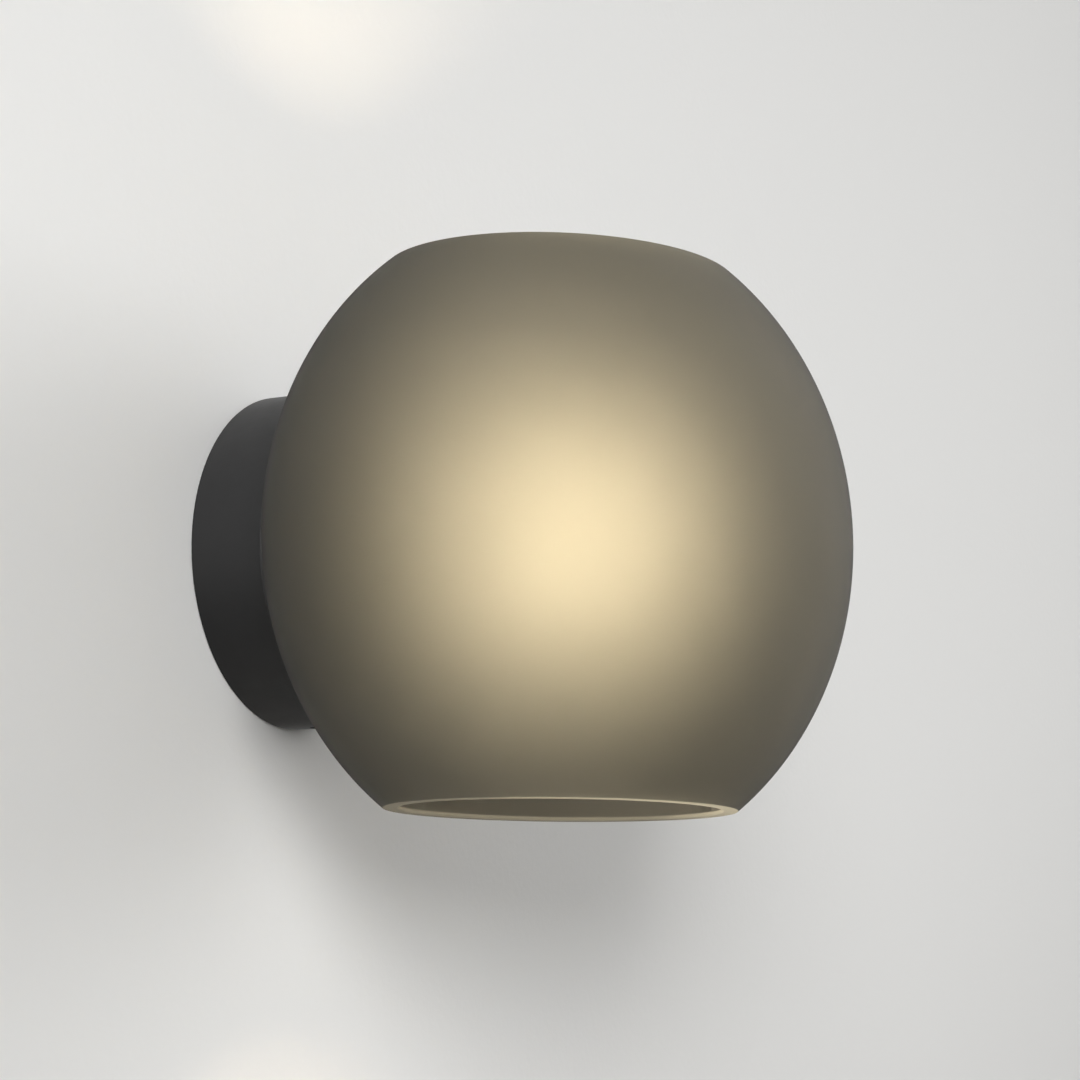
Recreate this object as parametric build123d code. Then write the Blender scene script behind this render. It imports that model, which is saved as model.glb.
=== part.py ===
from build123d import *

from math import ceil, radians, sqrt, tan
import os

# Globe wall sconce: a flattened globe of smoked satin glass on a round black canopy.
#
# The wall is the plane Y = 0 and the lamp stands out from it along -Y, with Z up. The origin is the centre
# of the canopy's back, on the wall. "Depth" is the distance from the wall, so a depth d lies at Y = -d.
# Nearly every piece is turned about one line, the lamp's axis, which runs square to the wall.

os.makedirs("parts", exist_ok=True)

# ============================================================ sizes, in millimetres

# Fits
face_gap = 0.05            # between two pieces of one body that fit into each other
screw_gap = 0.06           # round a set screw in its tapped hole
thread_gap = 0.30          # between the two sides of the lamp's thread and of the ring's thread
past = 1.0                 # how far a cutting bar runs past what it cuts

# Canopy, the round cup on the wall, and the foam in its rim
canopy_radius = 60.0
canopy_depth = 29.5
canopy_sheet = 1.5
canopy_edge_round = 1.2
foam_width = 2.3
foam_thick = 3.0

# Glass shade, a spheroid with a flat back, cut level at top and bottom
shade_width = 230.0
shade_thickness = 192.4    # front to back, of the whole spheroid
shade_height = 185.0
shade_wall = 4.0
shade_hole_radius = 21.0
shade_back_round = 1.5
top_rim_round = 2.2
bottom_rim_round = 0.8
inner_rim_round = 0.6

# Silicone rings that bed the glass
back_ring_thick = 1.0
back_ring_radius = 50.0
collar_wall = 0.6          # the lip of the back ring that centres the glass
collar_gap = 0.3
collar_short = 0.5         # how far the lip stays short of the glass's inner face
front_ring_thick = 1.5
front_ring_radius = 27.0

# Threaded carrier and the ring that clamps the glass
carrier_radius = 20.0
carrier_wall = 1.8
carrier_floor = 2.5
carrier_length = 14.5
carrier_pitch = 1.5
carrier_swing = 0.35       # half the depth of the thread
carrier_turns = 6
clamp_radius = 28.0
clamp_length = 7.0
clamp_turns = 3
clamp_edge_round = 0.8
clamp_grooves = 36
clamp_groove_radius = 0.9
clamp_run_in = 0.5         # plain bore before its thread

# Nipple that ties the canopy, the carrier and the lampholder together
nipple_radius = 5.0
nipple_bore = 3.9
nipple_behind = 7.5        # how far it stands behind the canopy's front sheet
nipple_beyond = 4.5        # how far it stands past the carrier's floor
nut_across = 14.0
nut_thick = 3.0
tooth_washer_radius = 9.0
tooth_washer_thick = 0.8
tooth_washer_teeth = 12
tooth_notch_radius = 1.17
bush_flange = 1.0
bush_wall = 0.75
bush_length = 7.0
bush_bell_round = 0.6

# Lampholder for a 27 mm screw cap
holder_radius = 17.5
holder_length = 52.0
holder_wall = 1.8
holder_floor = 3.0
holder_boss_radius = 8.0
cap_length = 18.0          # of the holder's rear half
cap_back_round = 2.0
spigot_length = 4.0
spigot_wall = 1.5
skirt_step = 0.5           # of the step inside the skirt, under the core's flange
mouth_radius = 14.3
mouth_lip = 1.5
contact_recess = 25.0      # from the mouth to the lamp's contact
core_thick = 8.0
core_radius = 13.9
core_flange = 3.0
core_stand_off = 2.0       # from the core's face to the lamp's contact
shell_sheet = 0.4
shell_flange_bore = 9.5
tongue_thick = 0.5
tongue_width = 5.0
tongue_behind = 1.3        # from the rivet to the tongue's end
tongue_bend = 3.3          # from the rivet to its bend
tongue_mitre = 0.2         # how much later the sheet's inner side bends
terminal_offset = 8.5
terminal_radius = 2.6
terminal_length = 4.0
terminal_bore = 1.3
terminal_floor = 1.0
terminal_screw_radius = 1.2
terminal_screw_back = 2.0  # from the core to the screw's axis
terminal_screw_proud = 1.5
rivet_radius = 1.0
live_rivet_z = 7.5
neutral_rivet_z = -10.2

# Lamp
thread_mid_radius = 12.67  # of the lamp's thread, halfway between crest and root
thread_swing = 0.42
thread_pitch = 3.629
thread_turns = 4
thread_from_contact = 5.5
lamp_length = 76.0
globe_radius = 22.5
globe_wall = 1.2
neck_radius = 19.4
housing_wall = 1.3
housing_hollow = 0.45      # how far the housing's side curves in
housing_collar = 3.8       # of its collar inside the cap
lamp_cap_length = 27.0
lamp_cap_sheet = 0.35
lamp_cap_flare = 13.4
lamp_cap_flare_length = 4.0
lamp_cap_tail = 1.5        # from its thread to its edge
insulator_radius = 11.2
insulator_length = 5.0
insulator_rim = 2.3
insulator_land = 0.2       # round the contact
contact_tip_radius = 1.8
contact_radius = 4.6
contact_height = 1.0
sink_wall = 1.0
sink_side_wall = 1.5
sink_gap = 0.9             # from the heat sink's rim to the housing
sink_length = 13.0
led_board_thick = 1.2
led_count = 8
led_size = 2.8
led_height = 0.7
led_circle = 11.0
driver_width = 15.0
driver_thick = 1.2
driver_length = 32.0
driver_wire_radius = 0.4
driver_wire_x = 3.0
capacitor_radius = 3.4
capacitor_start = 8.0      # from the board's rear end, as for what follows
capacitor_length = 10.0
rectifier_start = 21.0
rectifier_length = 5.0
rectifier_width = 6.0
rectifier_height = 2.2
coil_start = 6.0
coil_length = 7.0
coil_width = 7.0
coil_height = 5.5
coil_round = 2.0

# Wall bracket, a strap with its two ends bent forward into ears
bracket_width = 26.0
bracket_thick = 2.0
bracket_bend = 2.0         # inside the bends
ear_gap = 4.5              # from the outer face of an ear to the inside of the canopy
ear_depth = 20.0
ear_round = 3.0
slot_spacing = 60.0
slot_width = 5.0
slot_length = 14.0
cable_hole_radius = 9.0
grommet_bore = 5.0
grommet_length = 5.3
grommet_lip = 2.5
grommet_lip_thick = 1.5
grommet_nose = 7.5
grommet_taper = 1.0
grommet_wall_gap = 0.2     # how far it stays off the wall
bracket_earth_z = 16.5

# Set screws through the canopy's rim, above and below
set_screw_radius = 2.0
set_screw_length = 5.0
set_screw_depth = 12.0     # from the wall
set_screw_tip = 1.3
socket_across = 2.0
socket_depth = 2.2
rim_hole_radius = 2.4
boss_radius = 4.2
boss_gap = 0.8             # between a boss and the ear that passes it

# Terminal block
block_width = 18.0
block_length = 30.0
block_height = 15.0
block_offset = 21.0        # from the axis to its near side
block_edge_round = 0.8
pole_spacing = 10.0
pole_height = 9.0          # of the wire holes above the block's foot
pole_radius = 2.6
pole_length = 15.0
pole_bore = 1.6
wire_entry_radius = 1.9
clamp_screw_radius = 1.3
clamp_screw_spacing = 8.0
clamp_screw_sunk = 1.0
driver_slot = 0.6
block_screw_radius = 1.5
block_screw_head = 2.8
block_screw_head_thick = 2.0
block_screw_sunk = 0.5
block_screw_short = 0.2    # how far its tip stays behind the canopy's front

# Leads and earth connections
lead_radius = 1.1
lead_bend_share = 0.45     # of the shorter run beside a bend, which the bend takes up
lead_spread = 1.35         # of the two leads from the axis inside the nipple
lead_out = 3.0             # from the block to where the leads start to bend
lead_turn = 9.0            # from the block to where they turn towards the nipple
lead_loop = 9.5            # how far behind the nipple they turn
lead_past_nipple = 0.5
lead_before_terminal = 2.5
lead_in_terminal = 1.5
live_turn_z = 6.0
neutral_turn_z = -1.0
earth_lead_out = 10.0      # from the lug to its first bend
earth_lead_in = 11.0       # from its last bend to the block
earth_x = -31.0
earth_z = -14.0
stud_radius = 2.0
stud_length = 12.0
washer_thick = 0.8
stud_nut_across = 7.0
stud_nut_thick = 3.2
lug_radius = 4.0
lug_neck = 4.6             # from the stud to the barrel
lug_barrel_radius = 1.6
lug_barrel_length = 7.0
lug_overlap = 1.0          # of the lug's neck in its barrel
earth_screw_head = 3.5
earth_screw_head_thick = 2.4
earth_screw_wall_gap = 0.3 # from its tip to the wall
earth_screw_slot = 1.0     # width and depth of the slots across its head
clamp_plate_margin = 0.5   # of the square washer round the screw's head
clamp_plate_corner = 1.0

# ============================================================ places worked out from the sizes

canopy_inner_radius = canopy_radius - canopy_sheet
canopy_inner_depth = canopy_depth - canopy_sheet
ear_height = canopy_inner_radius - ear_gap

seat_depth = canopy_depth + back_ring_thick
glass_half_width = shade_width / 2
glass_half_thickness = shade_thickness / 2
# The whole spheroid would pass through a circle as wide as the canopy at the seat, so the glass starts
# there with the canopy's own width.
shade_centre = seat_depth + glass_half_thickness * sqrt(1 - (canopy_radius / glass_half_width) ** 2)

carrier_floor_depth = canopy_depth + carrier_floor
carrier_end = canopy_depth + carrier_length
carrier_mid_radius = carrier_radius - carrier_swing
carrier_inner_radius = carrier_mid_radius - carrier_wall
carrier_thread = carrier_end - (carrier_turns + 0.5) * carrier_pitch
front_ring_depth = seat_depth + shade_wall
clamp_depth = front_ring_depth + front_ring_thick
collar_radius = shade_hole_radius - collar_gap

nipple_back = canopy_inner_depth - nipple_behind
nipple_front = carrier_floor_depth + nipple_beyond
nipple_hole = nipple_radius + face_gap

holder_back = carrier_floor_depth
holder_mouth = holder_back + holder_length
skirt_back = holder_back + cap_length
holder_inner_radius = holder_radius - holder_wall
spigot_radius = holder_inner_radius - face_gap
contact_depth = holder_mouth - contact_recess
core_front = contact_depth - core_stand_off
core_back = core_front - core_thick
core_step = skirt_back + skirt_step

thread_start = contact_depth + thread_from_contact
thread_end = thread_start + thread_turns * thread_pitch
shell_radius = thread_mid_radius + thread_gap
lamp_front = contact_depth + lamp_length
globe_centre = lamp_front - globe_radius
neck_depth = globe_centre - sqrt(globe_radius ** 2 - neck_radius ** 2)
lamp_cap_end = contact_depth + lamp_cap_length
led_board_back = neck_depth - led_board_thick
sink_back = led_board_back - sink_length
driver_front = led_board_back - sink_wall

block_back = canopy_inner_depth - block_height
pole_depth = canopy_inner_depth - pole_height
block_far = block_offset + block_width
block_middle = block_offset + block_width / 2


# ============================================================ ways of making a piece

def turned(*outline):
    """A solid turned about the lamp's axis from a closed outline of (radius, depth) points."""
    points = [(radius, -depth) for radius, depth in outline]
    return revolve(make_face(Polyline(*points, close=True)), Axis.Y)


def turned_from(*edges):
    """A solid turned about the lamp's axis from edges that together close an outline."""
    return revolve(make_face(edges), Axis.Y)


def straight(*points):
    """The straight edges through points of (radius, depth)."""
    return [Line((a[0], -a[1]), (b[0], -b[1])) for a, b in zip(points, points[1:])]


def curved(start, middle, end):
    """The arc through three points of (radius, depth)."""
    return ThreePointArc((start[0], -start[1]), (middle[0], -middle[1]), (end[0], -end[1]))


def waves(radius, swing, start, pitch, turns):
    """The side of a rolled thread: an arc out and an arc in for every turn."""
    edges = []
    for turn in range(turns):
        low = start + turn * pitch
        half = low + pitch / 2
        high = start + (turn + 1) * pitch
        edges.append(curved((radius, low), (radius + swing, low + pitch / 4), (radius, half)))
        edges.append(curved((radius, half), (radius - swing, half + pitch / 4), (radius, high)))
    return edges


def rod(radius, start, end, x=0.0, z=0.0):
    """A round bar square to the wall, between two depths."""
    return Pos(x, -(start + end) / 2, z) * Rot(90, 0, 0) * Cylinder(radius, end - start)


def upright(radius, low, high, depth, x=0.0):
    """A round bar between two heights."""
    return Pos(x, -depth, (low + high) / 2) * Cylinder(radius, high - low)


def crosswise(radius, left, right, depth, z=0.0):
    """A round bar along X."""
    return Pos((left + right) / 2, -depth, z) * Rot(0, 90, 0) * Cylinder(radius, right - left)


def block(x, depth, z):
    """A rectangular solid between two X, two depths and two Z."""
    size = (x[1] - x[0], depth[1] - depth[0], z[1] - z[0])
    return Pos(sum(x) / 2, -sum(depth) / 2, sum(z) / 2) * Box(*size)


def drawn(outline, start, end, x=0.0, z=0.0):
    """A sketch seen from the room, drawn out between two depths."""
    plane = Plane(origin=(x, -start, z), x_dir=(1, 0, 0), z_dir=(0, -1, 0))
    return extrude(plane * outline, end - start)


def nut(across, hole, start, end, x=0.0, z=0.0):
    """A hexagon nut whose corners are turned down on both faces."""
    hexagon = drawn(RegularPolygon(across / 2, 6, major_radius=False), start, end, x, z)
    corner = across / sqrt(3) - across / 2
    rounding = rod(across / 2 + corner, start, end, x, z)
    rounding = chamfer(rounding.edges().filter_by(GeomType.CIRCLE), corner / 2)
    return (hexagon & rounding) - rod(hole, start, end, x, z)


def lead(*points):
    """An insulated wire along straight runs and tangent arcs through points of (x, depth, z)."""
    route = [Vector(x, -depth, z) for x, depth, z in points]
    radii = []
    for before, corner, after in zip(route, route[1:], route[2:]):
        run_in = corner - before
        run_out = after - corner
        half_turn = radians(run_in.get_angle(run_out) / 2)
        radii.append(lead_bend_share * min(run_in.length, run_out.length) / tan(half_turn))
    path = FilletPolyline(*route, radius=radii)
    section = Plane(origin=path @ 0, z_dir=path % 0) * Circle(lead_radius)
    wire = sweep(section, path=path)
    ratio = wire.volume / (section.area * path.length)
    print("lead radii", [round(radius, 1) for radius in radii], "length", round(path.length, 1),
          "volume ratio", round(ratio, 4))
    return wire


def group(solids):
    """Several separate solids under one name."""
    return Compound(children=list(solids))


def mirrored_pair(solid):
    """A piece and its twin on the other side of the lamp's middle plane."""
    return [solid, mirror(solid, about=Plane.XY)]


# ============================================================ wall bracket

def make_wall_bracket():
    """A steel strap, upright on the wall, with an ear bent forward at each end."""
    outside = Polyline((0, ear_height), (-ear_depth, ear_height), (-ear_depth, -ear_height), (0, -ear_height),
                       close=True)
    inner = ear_height - bracket_thick
    inside = Polyline((-bracket_thick, inner), (-ear_depth, inner), (-ear_depth, -inner),
                      (-bracket_thick, -inner), close=True)
    outer_bend = bracket_bend + bracket_thick
    outer_face = make_face(outside)
    outer_face = fillet(outer_face.vertices().group_by(Axis.X)[-1], outer_bend)
    inner_face = make_face(inside)
    inner_face = fillet(inner_face.vertices().group_by(Axis.X)[-1], bracket_bend)
    strap = extrude(Plane.YZ * (outer_face - inner_face), bracket_width / 2, both=True)
    corners = strap.edges().filter_by(Axis.Z).group_by(Axis.Y)[0]
    strap = fillet(corners, ear_round)
    for side in (1, -1):
        slot = SlotOverall(slot_length, slot_width, rotation=90)
        strap -= drawn(slot, 0, bracket_thick, z=side * slot_spacing / 2)
    strap -= rod(cable_hole_radius, 0, bracket_thick)
    strap -= rod(stud_radius + face_gap, 0, bracket_thick, z=bracket_earth_z)
    return strap


def make_cable_grommet():
    """A rubber bush in the strap's hole, through which the supply cable comes out of the wall."""
    back = grommet_wall_gap
    front = back + grommet_length
    lip_front = bracket_thick + grommet_lip_thick
    neck = cable_hole_radius - face_gap
    lip = cable_hole_radius + grommet_lip
    return turned((grommet_bore, back), (neck, back), (neck, bracket_thick), (lip, bracket_thick),
                  (lip, lip_front), (grommet_nose, lip_front), (grommet_nose - grommet_taper, front),
                  (grommet_bore, front))


def make_bracket_earth_screw():
    """The earth screw of the bracket, cross-slotted, ending short of the wall."""
    shank = rod(stud_radius, earth_screw_wall_gap, bracket_thick + washer_thick, z=bracket_earth_z)
    head_back = bracket_thick + washer_thick
    head_front = head_back + earth_screw_head_thick
    head = rod(earth_screw_head, head_back, head_front, z=bracket_earth_z)
    head = fillet(head.edges().group_by(Axis.Y)[0], earth_screw_head_thick / 3)
    half_slot = earth_screw_slot / 2
    cut = (head_front - earth_screw_slot, head_front + past)
    slot = block((-earth_screw_head, earth_screw_head), cut,
                 (bracket_earth_z - half_slot, bracket_earth_z + half_slot))
    cross = block((-half_slot, half_slot), cut,
                  (bracket_earth_z - earth_screw_head, bracket_earth_z + earth_screw_head))
    return shank + head - slot - cross


def make_bracket_earth_washer():
    """The square washer that traps the supply's earth wire."""
    side = earth_screw_head + clamp_plate_margin
    base = block((-side, side), (bracket_thick, bracket_thick + washer_thick),
                 (bracket_earth_z - side, bracket_earth_z + side))
    base = fillet(base.edges().filter_by(Axis.Y), clamp_plate_corner)
    return base - rod(stud_radius + face_gap, 0, ear_depth, z=bracket_earth_z)


# ============================================================ canopy

def make_canopy():
    """The spun steel cup that covers the bracket, open to the wall."""
    cup = turned((nipple_hole, canopy_depth), (canopy_radius, canopy_depth), (canopy_radius, 0),
                 (canopy_inner_radius, 0), (canopy_inner_radius, canopy_inner_depth),
                 (nipple_hole, canopy_inner_depth))
    front_edge = cup.edges().group_by(Axis.Y)[0].sort_by(SortBy.LENGTH)[-1]
    cup = fillet(front_edge, canopy_edge_round)
    rim_hole = upright(rim_hole_radius, canopy_inner_radius - past, canopy_radius + past, set_screw_depth)
    for hole in mirrored_pair(rim_hole):
        cup -= hole
    for side in (1, -1):
        cup -= rod(block_screw_radius + face_gap, canopy_inner_depth, canopy_depth, x=block_middle,
                   z=side * pole_spacing / 2)
    return cup


def make_wall_foam():
    """The foam ring inside the canopy's rim, flush with the wall."""
    outer = canopy_inner_radius - face_gap
    return turned((outer - foam_width, 0), (outer, 0), (outer, foam_thick), (outer - foam_width, foam_thick))


def make_rim_bosses():
    """The two tapped bosses behind the rim's holes, which carry the set screws."""
    bar = upright(boss_radius, ear_height + boss_gap, canopy_radius, set_screw_depth)
    boss = bar & rod(canopy_inner_radius - face_gap, 0, canopy_inner_depth)
    boss -= upright(set_screw_radius + screw_gap, ear_height, canopy_radius, set_screw_depth)
    return group(mirrored_pair(boss))


def make_set_screw():
    """The upper set screw, whose flat tip bears on the bracket's ear."""
    end = ear_height + set_screw_length
    screw = upright(set_screw_radius, ear_height, end, set_screw_depth)
    screw = chamfer(screw.edges().group_by(Axis.Z)[0], set_screw_radius - set_screw_tip)
    socket = Pos(0, -set_screw_depth, end - socket_depth) * RegularPolygon(socket_across / 2, 6,
                                                                          major_radius=False)
    return screw - extrude(socket, socket_depth)


def make_nipple():
    """The threaded tube through the canopy, the carrier and the lampholder's floor."""
    return turned((nipple_bore, nipple_back), (nipple_radius, nipple_back), (nipple_radius, nipple_front),
                  (nipple_bore, nipple_front))


def make_lock_nut():
    front = canopy_inner_depth - tooth_washer_thick
    return nut(nut_across, nipple_hole, front - nut_thick, front)


def make_tooth_washer():
    """The toothed washer under the lock nut."""
    front = canopy_inner_depth
    back = front - tooth_washer_thick
    disc = rod(tooth_washer_radius, back, front) - rod(nipple_hole, back, front)
    for place in PolarLocations(tooth_washer_radius, tooth_washer_teeth):
        disc -= rod(tooth_notch_radius, back, front, x=place.position.X, z=place.position.Y)
    return disc


def make_nipple_bush():
    """The plastic liner that keeps the leads off the nipple's edge."""
    barrel = nipple_bore - face_gap
    bore = barrel - bush_wall
    back = nipple_back - bush_flange
    bush = turned((bore, back), (nipple_radius + bush_wall, back), (nipple_radius + bush_wall, nipple_back),
                  (barrel, nipple_back), (barrel, back + bush_length), (bore, back + bush_length))
    bell = bush.edges().group_by(Axis.Y)[-1].sort_by(SortBy.LENGTH)[0]
    return fillet(bell, bush_bell_round)


# ============================================================ terminal block

def pole_heights():
    return [-pole_spacing, 0.0, pole_spacing]


def clamp_screw_places():
    return [block_middle - clamp_screw_spacing / 2, block_middle + clamp_screw_spacing / 2]


def make_terminal_block():
    """The three-pole block's body, with a hole for each wire, clamping screw and fixing screw."""
    body = block((block_offset, block_far), (block_back, canopy_inner_depth),
                 (-block_length / 2, block_length / 2))
    body = fillet(body.edges().filter_by(Axis.Y), block_edge_round)
    step = block_edge_round
    for side in (1, -1):
        waist = side * pole_spacing / 2
        body -= block((block_offset, block_offset + step), (block_back, canopy_inner_depth),
                      (waist - step, waist + step))
        body -= block((block_far - step, block_far), (block_back, canopy_inner_depth),
                      (waist - step, waist + step))
        head_room = block_back + block_screw_sunk + block_screw_head_thick
        body -= rod(block_screw_radius + face_gap, block_back, canopy_inner_depth, x=block_middle, z=waist)
        body -= rod(block_screw_head + face_gap, block_back, head_room, x=block_middle, z=waist)
    for z in pole_heights():
        body -= crosswise(wire_entry_radius, block_offset, block_far, pole_depth, z)
        body -= crosswise(pole_radius + face_gap, block_middle - pole_length / 2,
                          block_middle + pole_length / 2, pole_depth, z)
        for x in clamp_screw_places():
            body -= rod(clamp_screw_radius + 2 * face_gap, block_back, pole_depth, x=x, z=z)
    return body


def make_terminal_poles():
    """The brass tubes inside the block."""
    poles = []
    for z in pole_heights():
        pole = crosswise(pole_radius, block_middle - pole_length / 2, block_middle + pole_length / 2,
                         pole_depth, z)
        pole -= crosswise(pole_bore, block_offset, block_far, pole_depth, z)
        for x in clamp_screw_places():
            pole -= rod(clamp_screw_radius + face_gap, block_back, pole_depth, x=x, z=z)
        poles.append(pole)
    return group(poles)


def make_terminal_screws():
    """The six slotted clamping screws, down on their wires."""
    screws = []
    back = block_back + clamp_screw_sunk
    tip = pole_depth - lead_radius - face_gap
    for z in pole_heights():
        for x in clamp_screw_places():
            screw = rod(clamp_screw_radius, back, tip, x=x, z=z)
            screws.append(screw - block((x - clamp_screw_radius, x + clamp_screw_radius),
                                        (back - driver_slot, back + driver_slot),
                                        (z - driver_slot / 2, z + driver_slot / 2)))
    return group(screws)


def make_block_screws():
    """The two screws that hold the block on the canopy's front sheet."""
    screws = []
    back = block_back + block_screw_sunk
    under_head = back + block_screw_head_thick
    for side in (1, -1):
        z = side * pole_spacing / 2
        screw = rod(block_screw_head, back, under_head, x=block_middle, z=z)
        screw += rod(block_screw_radius, under_head, canopy_depth - block_screw_short, x=block_middle, z=z)
        screw -= block((block_middle - block_screw_head, block_middle + block_screw_head),
                       (back - driver_slot, back + driver_slot), (z - driver_slot / 2, z + driver_slot / 2))
        screws.append(screw)
    return group(screws)


# ============================================================ earth connection and leads

def make_earth_stud():
    return rod(stud_radius, canopy_inner_depth - stud_length, canopy_inner_depth, earth_x, earth_z)


def make_earth_washer():
    back = canopy_inner_depth - washer_thick
    ring = rod(lug_radius, back, canopy_inner_depth, earth_x, earth_z)
    return ring - rod(stud_radius + face_gap, back, canopy_inner_depth, earth_x, earth_z)


def make_earth_lug():
    """The ring lug crimped on the earth lead."""
    front = canopy_inner_depth - washer_thick
    back = front - washer_thick
    barrel_start = earth_x + lug_neck
    ring = rod(lug_radius, back, front, earth_x, earth_z)
    ring += block((earth_x, barrel_start + lug_overlap), (back, front),
                  (earth_z - lug_barrel_radius, earth_z + lug_barrel_radius))
    ring += crosswise(lug_barrel_radius, barrel_start, barrel_start + lug_barrel_length,
                      canopy_inner_depth - lug_barrel_radius, earth_z)
    return ring - rod(stud_radius + face_gap, back, front, earth_x, earth_z)


def make_earth_nut():
    front = canopy_inner_depth - 2 * washer_thick
    return nut(stud_nut_across, stud_radius + face_gap, front - stud_nut_thick, front, earth_x, earth_z)


def make_earth_lead():
    """From the lug, under the lock nut, to the block's lowest pole."""
    barrel_end = earth_x + lug_neck + lug_barrel_length
    barrel_depth = canopy_inner_depth - lug_barrel_radius
    low_pole = -pole_spacing
    return lead((barrel_end, barrel_depth, earth_z), (barrel_end + earth_lead_out, barrel_depth, earth_z),
                (block_offset - earth_lead_in, pole_depth, low_pole), (block_middle, pole_depth, low_pole))


def make_mains_lead(pole_z, turn_z, side):
    """From a pole of the block, round into the nipple, to a terminal at the lampholder's core."""
    loop_depth = nipple_back - lead_loop
    terminal_back = core_back - terminal_length
    return lead((block_middle, pole_depth, pole_z), (block_offset - lead_out, pole_depth, pole_z),
                (block_offset - lead_turn, loop_depth, turn_z), (0, loop_depth, side * lead_spread),
                (0, nipple_front + lead_past_nipple, side * lead_spread),
                (0, terminal_back - lead_before_terminal, side * terminal_offset),
                (0, terminal_back + lead_in_terminal, side * terminal_offset))


# ============================================================ glass shade and what clamps it

def globe_form(half_width, half_thickness, height, back):
    """A spheroid flattened along Y, between two level cuts and in front of a flat back."""
    ball = Pos(0, -shade_centre, 0) * scale(Sphere(1), by=(half_width, half_thickness, half_width))
    kept = block((-shade_width, shade_width), (back, back + 2 * shade_width), (-height / 2, height / 2))
    return ball & kept


def make_glass_shade():
    """The blown globe: flat at the back round its hole, and cut level at top and bottom."""
    globe = globe_form(glass_half_width, glass_half_thickness, shade_height, seat_depth)
    globe = fillet(globe.edges().group_by(Axis.Y)[-1], shade_back_round)
    globe = fillet(globe.faces().sort_by(Axis.Z)[-1].edges(), top_rim_round)
    globe = fillet(globe.faces().sort_by(Axis.Z)[0].edges(), bottom_rim_round)
    hollow = globe_form(glass_half_width - shade_wall, glass_half_thickness - shade_wall,
                        shade_height + 2 * shade_wall, front_ring_depth)
    shade = globe - hollow - rod(shade_hole_radius, seat_depth, front_ring_depth)
    for rim in (-1, 0):
        rim_edges = shade.faces().sort_by(Axis.Z)[rim].edges().sort_by(SortBy.LENGTH)
        shade = fillet(rim_edges[0], inner_rim_round)
    return shade


def make_back_ring():
    """The silicone ring behind the glass, with a lip that centres the glass's hole."""
    lip_bore = collar_radius - collar_wall
    lip_end = front_ring_depth - collar_short
    return turned((lip_bore, canopy_depth), (back_ring_radius, canopy_depth), (back_ring_radius, seat_depth),
                  (collar_radius, seat_depth), (collar_radius, lip_end), (lip_bore, lip_end))


def make_front_ring():
    """The silicone ring between the glass and the clamping ring."""
    bore = carrier_radius + thread_gap
    return turned((bore, front_ring_depth), (front_ring_radius, front_ring_depth),
                  (front_ring_radius, clamp_depth), (bore, clamp_depth))


def make_glass_carrier():
    """The cup on the canopy whose outside is threaded for the clamping ring."""
    wall = waves(carrier_mid_radius, carrier_swing, carrier_thread, carrier_pitch, carrier_turns)
    thread_last = carrier_thread + carrier_turns * carrier_pitch
    return turned_from(
        *straight((carrier_inner_radius, carrier_floor_depth), (nipple_hole, carrier_floor_depth),
                  (nipple_hole, canopy_depth), (carrier_mid_radius, canopy_depth),
                  (carrier_mid_radius, carrier_thread)),
        *wall,
        *straight((carrier_mid_radius, thread_last), (carrier_mid_radius, carrier_end),
                  (carrier_inner_radius, carrier_end), (carrier_inner_radius, carrier_floor_depth)))


def make_clamp_ring():
    """The ring that screws on the carrier and presses the glass against the canopy."""
    skipped = ceil((clamp_depth + clamp_run_in - carrier_thread) / carrier_pitch)
    start = carrier_thread + skipped * carrier_pitch
    end = start + clamp_turns * carrier_pitch
    middle = carrier_mid_radius + thread_gap
    bore = carrier_radius + thread_gap
    clamp_end = clamp_depth + clamp_length
    ring = turned_from(
        *straight((middle, start), (bore, start), (bore, clamp_depth), (clamp_radius, clamp_depth),
                  (clamp_radius, clamp_end), (bore, clamp_end), (bore, end), (middle, end)),
        *waves(middle, carrier_swing, start, carrier_pitch, clamp_turns))
    outer_edges = ring.edges().filter_by(GeomType.CIRCLE).group_by(SortBy.RADIUS)[-1]
    ring = fillet(outer_edges, clamp_edge_round)
    cutter = rod(clamp_groove_radius, clamp_depth, clamp_end)
    grooves = []
    for place in PolarLocations(clamp_radius + clamp_groove_radius / 3, clamp_grooves):
        grooves.append(Pos(place.position.X, 0, place.position.Y) * cutter)
    return ring - grooves


# ============================================================ lampholder

def make_holder_cap():
    """The holder's rear half, screwed on the nipple."""
    floor = holder_back + holder_floor
    cap = turned((nipple_hole, holder_back), (holder_radius, holder_back), (holder_radius, skirt_back),
                 (holder_inner_radius, skirt_back), (holder_inner_radius, floor), (holder_boss_radius, floor),
                 (holder_boss_radius, nipple_front), (nipple_hole, nipple_front))
    back_edge = cap.edges().group_by(Axis.Y)[-1].sort_by(SortBy.LENGTH)[-1]
    return fillet(back_edge, cap_back_round)


def make_holder_skirt():
    """The holder's front sleeve, whose spigot sits in the rear half."""
    bore = spigot_radius - spigot_wall
    back = skirt_back - spigot_length
    return turned((bore, back), (spigot_radius, back), (spigot_radius, skirt_back),
                  (holder_radius, skirt_back), (holder_radius, holder_mouth), (mouth_radius, holder_mouth),
                  (mouth_radius, holder_mouth - mouth_lip), (holder_inner_radius, holder_mouth - mouth_lip),
                  (holder_inner_radius, core_step), (bore, core_step))


def make_holder_core():
    """The ceramic core, whose flange rests on the step inside the skirt."""
    flange_radius = holder_inner_radius - 2 * face_gap
    flange_front = core_step + core_flange
    core = turned((0, core_back), (core_radius, core_back), (core_radius, core_step),
                  (flange_radius, core_step), (flange_radius, flange_front), (core_radius, flange_front),
                  (core_radius, core_front), (0, core_front))
    for z in (live_rivet_z, neutral_rivet_z):
        core -= rod(rivet_radius + face_gap, core_back, core_front, z=z)
    return core


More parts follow.
